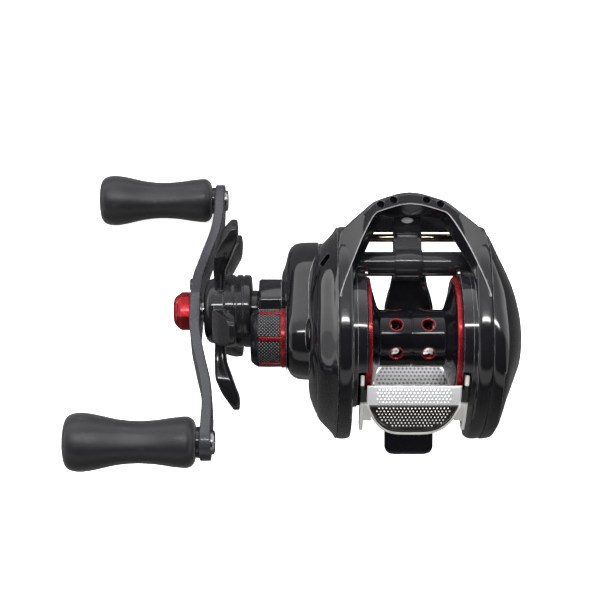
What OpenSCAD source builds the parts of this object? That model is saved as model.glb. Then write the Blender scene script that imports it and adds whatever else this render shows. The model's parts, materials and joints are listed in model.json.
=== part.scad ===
// Low-profile baitcasting reel, handle on the left, worm-driven level wind.
// X runs along the spool axis towards the palm side, Y towards the rod tip, Z up.
// The origin is in the seat face of the reel foot, straight below the spool axis.

/* [Spool] */
// Height of the spool axis above the seat face
spool_z = 22.5; // [22.4:0.1:22.6]
// Outer radius of the spool flanges
flange_r = 17; // [16.8:0.1:17.1]
// Half the spool width, to the outer faces of its flanges
spool_half = 12.2; // [12.1:0.1:12.3]
// Radius of the spool drum
drum_r = 8; // [7.5:0.5:8.5]
// Radius of the spool shaft
spool_shaft_r = 1.2; // [1.1:0.05:1.2]
// Line-saving holes around the drum, in each of two rows
drum_holes = 6; // [4:1:8]

/* [Gear train] */
// Distance of the drive axis in front of the spool axis
drive_y = 7.4; // [7.4:0.1:7.5]
// Teeth of the main gear
main_teeth = 63; // [61:2:63]
// Teeth of the pinion
pinion_teeth = 10; // [10:1:10]
// Teeth of the level-wind drive cog
cog_teeth = 32; // [32:1:32]
// Teeth of the worm shaft gear
worm_teeth = 16; // [16:1:16]
// Height of the worm axis above the drive axis
worm_rise = 12; // [11.5:0.5:12]

/* [Body] */
// Half width between the outer faces of the frame side walls
wall_out = 20.3; // [20.3:0.1:20.5]
// Half width between the inner faces of the frame side walls
wall_in = 16.4; // [16.2:0.1:16.4]
// Outermost point of the palm side plate
palm_x = 29.6; // [29.4:0.2:30]
// Width of the reel foot
foot_w = 14.2; // [13:0.2:15]
// Thickness of the reel foot
foot_t = 2; // [2:0.1:2]

/* [Handle] */
// Distance between the two knob axes
handle_span = 96; // [90:1:100]
// Tilt of the handle, in degrees from the forward direction
handle_tilt = -44; // [-60:1:-30]
// Length of one knob
knob_len = 35; // [32:0.5:36]
// Greatest radius of one knob
knob_r = 7.9; // [7:0.1:8.5]

/* [Hidden] */

$fn = 96;
fit = 0.05;                 // radial clearance of a running fit
seat = 0.02;                // gap of a fixed seat
pressure_angle = 25;
pitch_module = 0.5;         // of the main gear and the pinion
cog_module = 0.75;          // of the level-wind gears
addendum = 0.8;             // of every gear, in modules
dedendum = 1.1;
tooth_fill = 0.9;           // share of half the pitch that a tooth takes up

gear_distance = (main_teeth + pinion_teeth) * pitch_module / 2;
cog_distance = (cog_teeth + worm_teeth) * cog_module / 2;
drive_z = spool_z - sqrt(pow(gear_distance, 2) - pow(drive_y, 2));
worm_y = drive_y + sqrt(pow(cog_distance, 2) - pow(worm_rise, 2));
worm_z = drive_z + worm_rise;

SPOOL = [0, spool_z];       // axes as places in the Y-Z plane
DRIVE = [drive_y, drive_z];
WORM = [worm_y, worm_z];
ROD = [28.2, 14.5];
spool_side = atan2(SPOOL[1] - DRIVE[1], SPOOL[0] - DRIVE[0]);   // from the drive axis, in degrees
worm_side = atan2(WORM[1] - DRIVE[1], WORM[0] - DRIVE[0]);

BLACK = [0.06, 0.06, 0.07];
SATIN = [0.16, 0.16, 0.18];
RED = [0.72, 0.05, 0.07];
CHROME = [0.85, 0.85, 0.86];
STEEL = [0.6, 0.6, 0.62];
BRASS = [0.78, 0.62, 0.32];
GUNMETAL = [0.22, 0.23, 0.27];
RUBBER = [0.2, 0.2, 0.2];
CARBON = [0.1, 0.1, 0.1];

// ---- helpers ----

// Round bar along X from x0 to x1, on an axis given in the Y-Z plane
module rod(x0, x1, r, at = SPOOL)
    translate([min(x0, x1), at[0], at[1]]) rotate([0, 90, 0]) cylinder(r = r, h = abs(x1 - x0));

module tube(x0, x1, r, bore, at = SPOOL) {
    over = 0.5;
    difference() {
        rod(x0, x1, r, at);
        rod(min(x0, x1) - over, max(x0, x1) + over, bore, at);
    }
}

// A Y-Z outline drawn out along X from x0 to x1
module slab(x0, x1)
    translate([min(x0, x1), 0, 0]) rotate([90, 0, 90]) linear_extrude(abs(x1 - x0)) children();

// A solid of revolution about an X axis, from a profile of [x, radius] points
module turned(profile, at = SPOOL)
    translate([0, at[0], at[1]]) rotate([0, 90, 0])
        rotate_extrude() polygon([for (p = profile) [p[1], p[0]]]);

module spot(at, r) translate(at) circle(r = r);

module both_sides() {
    children();
    mirror([1, 0, 0]) children();
}

// Smooth closed curve through the points
function smooth_loop(p, steps) = let (n = len(p)) [for (i = [0:n - 1], k = [0:steps - 1])
    let (a = p[(i + n - 1) % n], b = p[i], c = p[(i + 1) % n], d = p[(i + 2) % n], t = k / steps)
    (2 * b + (c - a) * t + (2 * a - 5 * b + 4 * c - d) * t * t + (3 * b - a - 3 * c + d) * t * t * t) / 2];

// Smooth open curve through the points
function smooth_line(p, steps) = let (n = len(p)) concat([for (i = [0:n - 2], k = [0:steps - 1])
    let (a = p[max(i - 1, 0)], b = p[i], c = p[i + 1], d = p[min(i + 2, n - 1)], t = k / steps)
    (2 * b + (c - a) * t + (2 * a - 5 * b + 4 * c - d) * t * t + (3 * b - a - 3 * c + d) * t * t * t) / 2],
    [p[n - 1]]);

// ---- gears ----

function involute(r, base) = let (t = sqrt(max(0, pow(r / base, 2) - 1))) t * 180 / PI - atan(t);

// Gear outline with a tooth centred on the given angle
module gear_outline(teeth, size, angle) {
    pitch_r = teeth * size / 2;
    base = pitch_r * cos(pressure_angle);
    tip = pitch_r + addendum * size;
    root = pitch_r - dedendum * size;
    start = max(base, root);
    steps = 4;
    half = 90 * tooth_fill / teeth + involute(pitch_r, base);
    flank = concat([[root, half - involute(start, base)]],
        [for (i = [0:steps]) let (r = start + (tip - start) * i / steps) [r, half - involute(r, base)]]);
    n = len(flank);
    polygon([for (k = [0:teeth - 1], side = [-1, 1], i = [0:n - 1])
        let (f = flank[side < 0 ? i : n - 1 - i], a = angle + 360 * k / teeth + side * f[1])
        f[0] * [cos(a), sin(a)]]);
}

// ---- outlines of the body, as [Y, Z] ----

RIM = [[-27.6, 2.6], [-29.3, 8], [-28.2, 15.5], [-24.2, 25.5], [-17, 34.8], [-8, 41.3], [2, 41.9],
    [13, 39.3], [23, 35.4], [29.8, 27], [31, 17], [28, 7.4], [20, 2.2], [2, 1.2], [-15, 1.2]];
PALM = [[-27.6, 1.6], [-29.2, 8], [-28.2, 15.5], [-24.2, 25.5], [-17, 34.8], [-8, 41.3], [2, 41.9],
    [13, 39.3], [23, 35.4], [29, 27], [29.6, 16], [25, 4], [15, -3.4], [0, -5.4], [-16, -3]];

module rim_outline(s = 1) translate([0.6, spool_z]) scale(s) translate([-0.6, -spool_z])
    polygon(smooth_loop(RIM, 4));

// Side view of the nose piece
module hood_side() polygon(concat(
    smooth_line([[19, 37.6], [24, 35], [30, 30.6], [34.4, 26.8], [38, 23.4], [40.9, 20.4]], 4),
    [[40.9, 13.6], [39.4, 11.6], [37, 11.6], [36.6, 17.2], [28.5, 21.8], [22.5, 24], [19, 29.5]]));

// Plan view of the nose piece, as [X, Y]
module hood_outer() polygon(concat([[-wall_out, 18]], hood_front(), [[wall_out, 18]]));
module hood_plan() difference() {
    hood_outer();
    polygon([[-wall_in + 0.4, 17], [-14, 27], [-9.6, 33.6], [0, 36.4], [9.6, 33.6], [14, 27],
        [wall_in - 0.4, 17]]);
}
function hood_front() = smooth_line([[-wall_out, 24.4], [-18.8, 29.6], [-14, 34.6], [-10, 38], [0, 40.9],
    [10, 38], [14, 34.6], [18.8, 29.6], [wall_out, 24.4]], 1);

// ---- frame and casing ----

ring_r = 19;
ring_bore = flange_r + 0.3;
web_x = 17.4;               // outboard face of the gear side's thin web
worm_pocket_r = 6.95;
worm_tube_r = 3.4;
worm_tube_bore = 2.85;
arm_slot = [12.3, 15.2];    // the thumb bar runs between these widths

module frame() color(SATIN) difference() {
    union() {
        slab(wall_in, wall_out) difference() {
            rim_outline();
            hood_side();
        }
        slab(-wall_out, -wall_in) difference() {
            union() {
                rim_outline();
                spot(DRIVE, 14.6);
            }
            hood_side();
        }
        both_sides() rod(spool_half + 0.2, wall_in + 0.2, ring_r);
        frame_bars();
    }
    // spool opening, through the palm wall and up to the web on the gear side
    rod(-wall_in + 1.2, wall_out + 1, ring_bore);
    rod(-wall_out - 1, 0, 3.5);
    // gear pocket
    slab(-wall_out - 1, -web_x) {
        spot(DRIVE, 12.95);
        spot(WORM, worm_pocket_r);
        spot(SPOOL, 12.4);
    }
    // shaft seats
    rod(-wall_out, -14.6, 3.2 + seat, DRIVE);
    both_sides() rod(0, wall_out - 1.2, worm_tube_r + seat, WORM);
    rod(-wall_in - 0.8, wall_in + 0.8, 1.2 + seat, ROD);
    rod(-wall_out - 1, -wall_in, worm_tube_r + seat, WORM);
    thumb_slots();
    for (y = foot_holes) translate([foot_x, y, 0]) cylinder(r = 1.25 + seat, h = 5);
    for (p = YOKE_PINS) rod(-wall_out, -wall_in - 0.2, 1, p);
}

foot_x = 1.2;
foot_holes = [-14, -2, 12];
spine_top = 3.6;
toe_half = 3.9;             // half the width of the foot's front toe

module frame_bars() {
    // shaft boss beside the spool
    rod(-wall_in - 0.2, -14.2, 4.4, DRIVE);
    // spine on top of the foot, narrower towards the front bar
    translate([foot_x, 0, foot_t]) linear_extrude(spine_top - foot_t)
        polygon([[-7, -24], [-7, 8], [-5, 18], [4.8, 18], [6.4, 8], [6.4, -24]]);
    // cross bars under the front and the rear of the rings
    bar_w = 2 * (wall_in + 0.2);
    translate([-bar_w / 2, 17.5, foot_t]) cube([bar_w, 3.3, 5.6]);
    translate([-bar_w / 2, -ring_r, foot_t]) cube([bar_w, 5, 5.2]);
}

// Room in the rings for the thumb bar's arms, over their whole travel
module thumb_slots() both_sides() translate([arm_slot[0], -27, spool_z - 4])
    cube([arm_slot[1] - arm_slot[0], 18.4, 24]);

module reel_foot() color(BLACK) difference() {
    intersection() {
        translate([foot_x, 0, 0]) linear_extrude(foot_t) {
            translate([-foot_w / 2, -32.3]) square([foot_w, 41.3]);
            translate([-foot_w / 2 + 2.5, -34.8]) square([foot_w - 5, 4]);
            for (s = [-1, 1]) translate([s * (foot_w / 2 - 2.5), -32.3]) circle(r = 2.5);
            // narrows ahead of the spool to a slim front toe
            polygon([[-foot_w / 2, 8.9], [-4.8, 17], [-toe_half, 24], [-toe_half, 27.8], [1.4 - toe_half, 29.2],
                [toe_half - 1.4, 29.2], [toe_half, 27.8], [toe_half, 24], [4.8, 17], [foot_w / 2, 8.9]]);
        }
        // both ends slope to a thin toe
        slab(-20, 20) polygon([[-35, 0], [-35, 0.9], [-25, foot_t], [20, foot_t], [29.2, 0.9], [29.2, 0]]);
    }
    for (y = foot_holes) translate([foot_x, y, -1]) cylinder(r = 1.25 + seat, h = 5);
}

module foot_rivets() color(STEEL) for (y = foot_holes)
    translate([foot_x, y, 0.15]) cylinder(r = 1.25, h = spine_top - 0.15);

// Lip in front of the level wind, with a cheek at each end that runs up to the hood
module hood_lip() intersection() {
    union() {
        slab(-14.8, 14.8) polygon([[30.3, 3.8], [30.3, 5], [36, 5.2], [38.6, 6.4], [38.6, 5], [36, 3.8]]);
        both_sides() slab(13.1, 14.8) polygon([[30.3, 4], [30.3, 22], [33.6, 20], [33.6, 4]]);
    }
    linear_extrude(45) hood_outer();
}

hole_floor = 57.8;          // floor of the four blind holes along the slope of the nose, as Y + Z
module front_hood() color(BLACK) difference() {
    union() {
        intersection() {
            slab(-wall_out, wall_out) hood_side();
            linear_extrude(45) hood_plan();
        }
        hood_lip();
    }
    for (s = [-1, 1], p = [[4.6, 38], [8.3, 36.9]])
        translate([s * p[0], p[1], hole_floor - p[1]]) cylinder(r = 1.2, h = 30);
    slab(-wall_out - 1, -web_x) spot(WORM, worm_pocket_r);
}

deck_r = 18.2;
module deck_plate() color(CHROME) intersection() {
    tube(-9.4, 12.2, deck_r + 0.7, deck_r);
    translate([-9.4, -17, 0]) linear_extrude(20)
        polygon([[0, 0], [21.6, 0], [21.6, 5.5], [19.1, 8.2], [18.3, 14], [3.3, 14], [2.5, 8.2], [0, 5.5]]);
}

cavity_r = 17;
module gear_side_plate() color(BLACK) difference() {
    union() {
        slab(-25.2, -wall_out) rim_outline(0.9);
        rod(-25.1, -wall_out, 19.4, DRIVE);
    }
    rod(-26, -wall_out + 1, cavity_r, DRIVE);
    rod(-26, -wall_out + 1, 12.4);
    for (p = YOKE_PINS) rod(-26, -wall_out + 1, 2.6, p);
    // slot cut through the upper front corner
    translate([-24, 21.5, 30]) rotate([0, 0, -35]) cube([1.4, 4.2, 16], center = true);
    for (p = CASE_SCREWS) rod(-26, -wall_out + 1, 1.1, p);
}

module gear_set_plate() color(STEEL) difference() {
    rod(-20.9, -wall_out - seat, cavity_r - 0.1, DRIVE);
    rod(-22, -19, 8.4, DRIVE);
    rod(-22, -19, 12.6);
}

boss_r = 10;
cap_r = 8.15;
module gear_case_cover() color(BLACK) difference() {
    union() {
        difference() {
            cover_form(0, 0);
            rod(-60, -34.7, cap_r + 0.45);
        }
        // eight-sided boss around the drive axis
        translate([-42.5, DRIVE[0], DRIVE[1]]) rotate([0, 90, 0])
            rotate([0, 0, 22.5]) cylinder(r = boss_r, h = 9, $fn = 8);
        rod(-41.4, -33, 6.5);
    }
    difference() {
        cover_form(1.8, 2);
        for (p = CASE_SCREWS) rod(-36, -25, 2.4, p);
    }
    rod(-43, -26, 7 + seat, DRIVE);
    rod(-40, -26, 5 + seat);
    rod(-42, -26, 3.6);
    tube(-41, -40.2, 6.7, 5.85);
    for (p = CASE_SCREWS) rod(-30, -25, 1.1, p);
}

// The cover as a low flange and a drum around the drive and spool axes, drawn in by an inset and a depth
module cover_form(inset, depth) {
    hull() {
        slab(-25.5, -25.2 + inset / 2) rim_outline(0.76 - inset * 0.03);
        slab(-28 + depth, -27.9 + depth) rim_outline(0.6 - inset * 0.03);
    }
    hull() {
        slab(-25.5, -25.2 + inset / 2) drum_outline(20 - inset, 10.4 - inset);
        cover_section(-31.6 + depth, 19.7 - inset, 10 - inset);
        cover_section(-34.2 + depth, 17.6 - inset, 8.4 - inset);
        slab(-36 + depth, -35.9 + depth) spot(DRIVE, 12 - inset, $fn = 48);
    }
}

module cover_section(x, drive_side, spool_side) slab(x, x + 0.1) drum_outline(drive_side, spool_side);

module drum_outline(drive_side, spool_side) {
    spot(DRIVE, drive_side, $fn = 48);
    spot(SPOOL, spool_side, $fn = 48);
}

module palm_side_plate() color(BLACK) difference() {
    palm_form(0, 0);
    palm_form(1.6, 1.6);
    rod(palm_x - 4, palm_x + 1, dial_r + fit);
}

// Sections of the palm plate: [x, rear Y, front Y, share of the height]
PALM_SECTIONS = [[wall_out, -29.2, 29.2, 1], [22.3, -29, 25.8, 0.98], [24, -27.6, 22, 0.93],
    [25.8, -20, 18.2, 0.78], [27.8, -13.2, 13.6, 0.6], [palm_x - 0.1, -8.4, 8.8, 0.4]];

// The palm plate as a crowned form, drawn in at its sides and its top
module palm_form(inset, depth) hull() for (p = PALM_SECTIONS) {
    span = (p[2] - p[1] - 2 * inset) / 58.8;
    drop = (p[0] - wall_out) / (palm_x - wall_out) * 4;
    slab(p[0] - depth, p[0] - depth + 0.1) translate([(p[1] + p[2]) / 2 - 0.2 * span, 18.5 + drop])
        scale([span, p[3] * (1 - inset / 24)]) translate([0, -18.5]) polygon(smooth_loop(PALM, 4));
}

CASE_SCREWS = [[-13, 29], [20, 27], [10, 33], [-11, 14]];
module case_screws() color(BRASS) for (p = CASE_SCREWS) rod(-26.8, -wall_out - 0.3, 1.08, p);

// ---- spool ----

module spool() color(BLACK) difference() {
    turned([[-13.2, flange_r - 1.4], [-13.2, 12], [-11.2, 12], [-9.2, drum_r - 1.3], [9.2, drum_r - 1.3],
        [11.2, 12], [13.2, 12], [13.2, flange_r - 1.4], [11.4, flange_r - 1.4], [8.6, drum_r],
        [0.3, drum_r], [0.15, drum_r - 0.25], [-0.15, drum_r - 0.25], [-0.3, drum_r], [-8.6, drum_r],
        [-11.4, flange_r - 1.4]]);
    for (s = [-1, 1], k = [0:drum_holes - 1])
        translate([s * 4.4, 0, spool_z]) rotate([360 * (k + 0.5) / drum_holes, 0, 0])
            cylinder(r = 1.75, h = 20);
}

module spool_rims() color(RED) both_sides()
    tube(spool_half - 0.9, spool_half + 0.9, flange_r, flange_r - 1.4 + seat);

module spool_shaft() color(STEEL) {
    difference() {
        rod(-41, 21.4, spool_shaft_r);
        translate([-17.9, 0, 0]) cylinder(r = 0.5 + seat, h = 60);
    }
    // hub discs that carry the drum
    both_sides() tube(5.6, 6.8, drum_r - 1.3 - seat, spool_shaft_r - 0.01);
}

module spool_pin() color(STEEL) translate([-17.9, 0, spool_z - 2.4]) cylinder(r = 0.5, h = 4.8);

module brake_rotor() color(CHROME) union() {
    tube(12.3, 17.2, 10.6, 10);
    tube(11.3, 12.3, 10.6, drum_r - 2);
    tube(9.3, 11.3, drum_r - 1.4, drum_r - 2);
}

// Bearing as an outer and an inner ring, with the shielded race between them
module bearing(x0, x1, r, bore, at) {
    wall = (r - bore) * 0.3;
    tube(x0, x1, r, r - wall, at);
    tube(x0, x1, bore + wall, bore, at);
    tube(x0 + 0.3, x1 - 0.3, r - wall + 0.05, bore + wall - 0.05, at);
}

module spool_bearing_palm() color(STEEL) bearing(16, 18.6, 4, spool_shaft_r + fit, SPOOL);
module spool_bearing_handle() color(STEEL) bearing(-39, -36, 5, spool_shaft_r + fit, SPOOL);
module pinion_bearing() color(STEEL) bearing(-30, -27.4, 5, 2 + fit, SPOOL);
module drive_bearing() color(STEEL) bearing(-30.4, -27.4, 7, 4.8 + fit, DRIVE);
module shaft_bearing() color(STEEL) bearing(-17.2, -14.7, 3.2, 1.5 + fit, DRIVE);
module one_way_bearing() color(STEEL) bearing(-41.4, -30.6, 7, 4.8 + fit, DRIVE);

module brake_housing() color(SATIN) union() {
    tube(15, wall_out, ring_bore - seat * 2, 15.4);
    tube(19.2, wall_out, 15.6, 9.4);
    tube(15.6, wall_out, 5.2, 4 + seat);
    for (a = [0:60:300]) translate([19.2, 0, spool_z]) rotate([a, 0, 0])
        translate([0, -0.8, 5]) cube([1.1, 1.6, 5]);
}

module magnet_ring() color(STEEL) {
    tube(17.4, 18.8, 14.6, 11.2);
    for (a = [0:36:324]) translate([0, 0, spool_z]) rotate([a, 0, 0]) rod(16.6, 17.4, 1.3, [12.9, 0]);
}

dial_r = 6.6;
dial_x = palm_x - 0.2;      // outer face of the dial, just inside the plate
module brake_dial() color(GUNMETAL) difference() {
    union() {
        turned([[27.2, 0], [27.2, dial_r], [dial_x - 0.6, dial_r], [dial_x, dial_r - 0.6], [dial_x, 0]]);
        rod(23, 27.2, 3.6);
    }
    for (k = [0:23]) translate([0, 0, spool_z]) rotate([15 * k, 0, 0])
        rod(dial_x - 1.6, dial_x + 1, 0.35, [dial_r, 0]);
    translate([dial_x - 0.5, 1.4 - dial_r, spool_z - 0.5]) cube([2, 2 * dial_r - 2.8, 1]);
}

// ---- cast control ----

module tension_cap() color(BLACK) difference() {
    turned([[-44.3, 0], [-44.3, 6.6], [-43, 7.7], [-42.6, 7.7], [-42.4, cap_r - 0.15],
        [-36, cap_r - 0.15], [-36, 7.4], [-34.8, 7.4], [-34.8, 0]]);
    rod(-42.8, -30, 6.5 + fit);
    for (k = [0:5]) translate([0, 0, spool_z]) rotate([60 * k, 0, 0])
        translate([-42, -0.5, cap_r - 0.6]) cube([6, 1, 1]);
}

module tension_cap_trim() color(RED) {
    tube(-36 + seat, -34.8, cap_r + 0.1, 7.4 + seat);
    for (k = [0:5]) translate([0, 0, spool_z]) rotate([60 * k, 0, 0])
        translate([-42 + seat, -0.5 + seat, cap_r - 0.6 + seat]) cube([6 - 2 * seat, 1 - 2 * seat, 0.75]);
}

module tension_shim() color(BRASS) rod(-42.7, -41.6, 3);
module cap_seal() color(CARBON) translate([-40.6, 0, spool_z]) rotate([0, 90, 0])
    rotate_extrude() translate([6.2, 0]) circle(r = 0.3, $fn = 24);

// ---- drive train ----

module drive_shaft() color(STEEL) {
    rod(-17.65, -14.9, 1.5, DRIVE);
    rod(-20.6, -17.6, 3, DRIVE);
    rod(-21, -20.6, 7.5, DRIVE);
    rod(-24.4, -21, 4, DRIVE);
    rod(-59, -24.4, 3.2, DRIVE);
    rod(-66, -59, 2.9, DRIVE);
}

module main_gear() color(BRASS) difference() {
    translate([0, DRIVE[0], DRIVE[1]]) slab(-24, -21.1) gear_outline(main_teeth, pitch_module, spool_side);
    rod(-26, -19, 4 + seat, DRIVE);
    for (k = [0:5]) translate([0, DRIVE[0], DRIVE[1]]) rotate([60 * k, 0, 0]) rod(-26, -19, 1.6, [9.5, 0]);
}

module drag_washers() color(CARBON) for (x = [-24.6, -26])
    tube(x, x + 0.56, 12.5, 4.1, DRIVE);
module drag_plates() color(STEEL) for (x = [-25.4, -26.8])
    tube(x, x + 0.76, 12.2, 3.3, DRIVE);
module inner_tube() color(STEEL) tube(-43.6, -26.84, 4.8, 3.25, DRIVE);
module neck_collar() color(BLACK) tube(-46, -42.65, 6, 4.85, DRIVE);
module spring_washers() color(STEEL) for (x = [-44.9, -46.1, -47.3])
    translate([0, DRIVE[0], DRIVE[1]]) turned([[x, 3.3], [x, 3.9], [x + 0.5, 4.6], [x + 1, 4.6],
        [x + 0.5, 3.9], [x + 0.5, 3.3]], [0, 0]);

module star_nut() color(BRASS) difference() {
    translate([-53, DRIVE[0], DRIVE[1]]) rotate([0, 90, 0]) cylinder(r = 5.2, h = 4.6, $fn = 6);
    rod(-54, -47, 3.2 + fit, DRIVE);
}

module star_drag() color(BLACK) difference() {
    union() {
        turned([[-58.2, 0], [-58.2, 7.2], [-57.4, 8.9], [-55.8, 9.5], [-52.4, 9.5], [-52.4, 10.2],
            [-51.9, 10.5], [-49.4, 10.5], [-49.2, 10.2], [-48.8, 10.2], [-48.6, 10.5], [-45.2, 10.5],
            [-44.6, 9.9], [-44.6, 0]], DRIVE);
        for (k = [0:4]) translate([0, DRIVE[0], DRIVE[1]]) rotate([72 * k + 12, 0, 0]) star_arm();
    }
    rod(-60, -40, 3.2 + fit, DRIVE);
    translate([-53.05, DRIVE[0], DRIVE[1]]) rotate([0, 90, 0]) cylinder(r = 5.25, h = 5, $fn = 6);
    rod(-48.2, -40, 7, DRIVE);
}

// One paddle of the star, pointing up from the drive axis
module star_arm() intersection() {
    rotate([90, 0, 0]) linear_extrude(20, center = true) polygon([[-55.2, 6], [-55.2, 19.5], [-50.7, 28.8],
        [-48.3, 28.8], [-48.3, 24.6], [-49.7, 22], [-52, 15], [-52.4, 11], [-52.4, 6]]);
    slab(-60, -45) polygon([[-4, 5], [-3.4, 12], [-4.6, 20], [-3.8, 27.4], [-2.2, 28.8], [2.2, 28.8],
        [3.8, 27.4], [4.6, 20], [3.4, 12], [4, 5]]);
}

module drive_cog() color(BRASS) difference() {
    translate([0, DRIVE[0], DRIVE[1]]) slab(-20, -17.7) gear_outline(cog_teeth, cog_module, worm_side);
    rod(-22, -16, 3 + seat, DRIVE);
}

// ---- handle, drawn along its own length from the drive axis ----

module on_handle() translate([0, DRIVE[0], DRIVE[1]]) rotate([handle_tilt, 0, 0]) children();
half_span = handle_span / 2;
arm_t = 3;

module handle_arm() color(GUNMETAL) on_handle() difference() {
    intersection() {
        translate([0, 0, -10]) linear_extrude(20) arm_sweep();
        slab(-70, -50) {
            circle(r = 7.6);
            for (s = [-1, 1]) translate([s * half_span, 0]) circle(r = 5);
            polygon([[-half_span, -5], [-20, -4.4], [-7, -6.4], [7, -6.4], [20, -4.4], [half_span, -5],
                [half_span, 5], [20, 4.4], [7, 6.4], [-7, 6.4], [-20, 4.4], [-half_span, 5]]);
        }
    }
    rod(-70, -50, 2.9 + seat, [0, 0]);
    for (s = [-1, 1]) rod(-70, -50, 2.3 + seat, [s * half_span, 0]);
    rod(-70, -61, 1 + seat, [10.7, 0]);
}

// Centre line of the arm seen along its face, given thickness
module arm_sweep() {
    half = smooth_line([[-62.1, 0], [-62.1, 5], [-61.9, 11], [-60.2, 20], [-58, 30], [-57.2, 38],
        [-57.2, 43], [-57.2, 54]], 4);
    n = len(half);
    polygon(concat([for (i = [0:n - 1]) half[i]], [for (i = [n - 1:-1:0]) half[i] + [arm_t, 0]],
        [for (i = [1:n - 1]) [half[i][0] + arm_t, -half[i][1]]],
        [for (i = [n - 1:-1:1]) [half[i][0], -half[i][1]]]));
}

module handle_nut() color(RED) on_handle() difference() {
    union() {
        translate([-66.2, 0, 0]) rotate([0, 90, 0]) cylinder(d = 10 / cos(30), h = 4, $fn = 6);
        turned([[-67.2, 0], [-67.2, 3.2], [-66.8, 4.2], [-66.1, 4.8], [-66, 4.8], [-66, 0]], [0, 0]);
    }
    rod(-66.1, -60, 2.9 + seat, [0, 0]);
}

module nut_retainer() color(BLACK) on_handle() {
    rod(-62.1, -61.1, 1, [10.7, 0]);
    rod(-63.2, -62.1, 1.9, [10.7, 0]);
}

module knob_shafts() color(STEEL) on_handle() for (s = [-1, 1]) {
    rod(-91, -54.1, 2.3, [s * half_span, 0]);
    rod(-54.1, -53.2, 3.3, [s * half_span, 0]);
}

module knob_washers() color(BLACK) on_handle() for (s = [-1, 1])
    tube(-58.3, -57.2 - seat, 4.2, 2.3 + seat, [s * half_span, 0]);

// Shape of the knob, from its outer end to the arm
knob_out = -58.4 - knob_len;
function knob_curve() = [for (p = smooth_line([[0, 3], [0.3, 6.2], [2, 7.6], [4.4, knob_r], [8, 7.5],
    [14, 6.2], [19, 5.75], [24, 5.95], [29, 6.6], [32.6, 6.9], [34.4, 6.1], [knob_len, 4.4]], 3))
    [knob_out + p[0], p[1]]];

module knob(s) color(RUBBER) on_handle() difference() {
    turned(concat([[knob_out, 0]], knob_curve(), [[knob_out + knob_len, 0]]), [s * half_span, 0]);
    rod(knob_out + 1.6, -50, 2.3 + fit, [s * half_span, 0]);
    rod(knob_out - 1, knob_out + 1, 2.5 + seat, [s * half_span, 0]);
}
module knob_front() knob(1);
module knob_rear() knob(-1);
module knob_cap(s) color(CHROME) on_handle()
    rod(knob_out - 0.3, knob_out + 1 - seat, 2.5, [s * half_span, 0]);
module knob_cap_front() knob_cap(1);
module knob_cap_rear() knob_cap(-1);

// ---- pinion and clutch ----

module pinion() color(BRASS) difference() {
    union() {
        translate([0, 0, spool_z]) slab(-25.4, -20.5)
            gear_outline(pinion_teeth, pitch_module, spool_side + 180 + 180 / pinion_teeth);
        rod(-30.6, -25.4, 2);
        rod(-20.5, -19.1, 1.8);
        rod(-19.1, -17.2, 3);
    }
    rod(-40, -10, spool_shaft_r + 0.15);
    translate([-18.6, -0.65, spool_z - 4]) cube([3, 1.3, 8]);
}

// Places in the Y-Z plane across the pinion, square to the line of centres
across = [cos(spool_side + 90), sin(spool_side + 90)];
away = [cos(spool_side), sin(spool_side)];
YOKE_PINS = [for (s = [-1, 1]) SPOOL + s * 9.2 * across + 1.5 * away];

module yoke() color(STEEL) difference() {
    translate([0, 0, spool_z]) slab(-20.4, -19.3) rotate(spool_side)
        translate([-1, -11.4]) square([6, 22.8]);
    rod(-24, -15, 1.85);
    translate([0, 0, spool_z]) slab(-24, -15) rotate(spool_side) translate([-5, -1.85]) square([5, 3.7]);
    for (p = YOKE_PINS) rod(-24, -15, 1 + fit, p);
}

module yoke_pins() color(STEEL) for (p = YOKE_PINS) rod(-25, -wall_in - 0.22, 1 - seat, p);

// Coil spring along X as a swept tube
module coil(x0, x1, r, wire, turns, at) {
    steps = 12;
    sides = 6;
    n = turns * steps;
    function mid(i) = [x0 + (x1 - x0) * i / n, at[0] + r * cos(360 * i / steps),
        at[1] + r * sin(360 * i / steps)];
    function ring_point(i, k) = mid(i) + wire * [cos(60 * k), sin(60 * k) * cos(360 * i / steps),
        sin(60 * k) * sin(360 * i / steps)];
    polyhedron([for (i = [0:n], k = [0:sides - 1]) ring_point(i, k)],
        concat([[for (k = [0:sides - 1]) k]], [[for (k = [sides - 1:-1:0]) n * sides + k]],
            [for (i = [0:n - 1], k = [0:sides - 1]) [i * sides + k, (i + 1) * sides + k,
                (i + 1) * sides + (k + 1) % sides, i * sides + (k + 1) % sides]]));
}

module yoke_springs() color(STEEL) for (p = YOKE_PINS) coil(-24.6, -20.7, 1.6, 0.25, 4, p);

module clutch_cam() color(STEEL) {
    tube(-18.9, -17.6, 5.4, 3.3);
    // tab that the thumb bar pushes
    translate([0, 0, spool_z]) slab(-18.9, -17.6) rotate(130) translate([4, -1.6]) square([7, 3.2]);
}

bar_half = 13.4;
module thumb_bar() color(CHROME) {
    intersection() {
        slab(-bar_half, bar_half) polygon([[-12.4, 36.9], [-17.8, 34], [-22.6, 29.6], [-26.2, 25],
            [-25.3, 24.2], [-21.7, 28.6], [-17.3, 32.6], [-12.4, 35.4]]);
        linear_extrude(60) bar_plan();
    }
    // arms that run down beside the spool
    both_sides() slab(bar_half - 0.05, 14.6) polygon([[-9.4, 38.4], [-12.5, 37], [-17.8, 33.9], [-22.6, 29.5],
        [-25.4, 25.8], [-23.6, 22.6], [-17, 28], [-9.4, 33.4]]);
}

// Plan of the thumb bar: straight at the front, a wide arc at the rear
module bar_plan() polygon(concat([[bar_half, -12], [-bar_half, -12], [-bar_half, -20]],
    [for (a = [170:-10:10]) [bar_half * cos(a), -20 - 6.2 * pow(sin(a), 0.7)]], [[bar_half, -20]]));

// ---- level wind ----

worm_r = 2.5;
worm_turns = 3.5;
worm_half = 13;
groove_reach = 9.2;         // the grooves cross over and turn back at this distance from the middle

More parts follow.
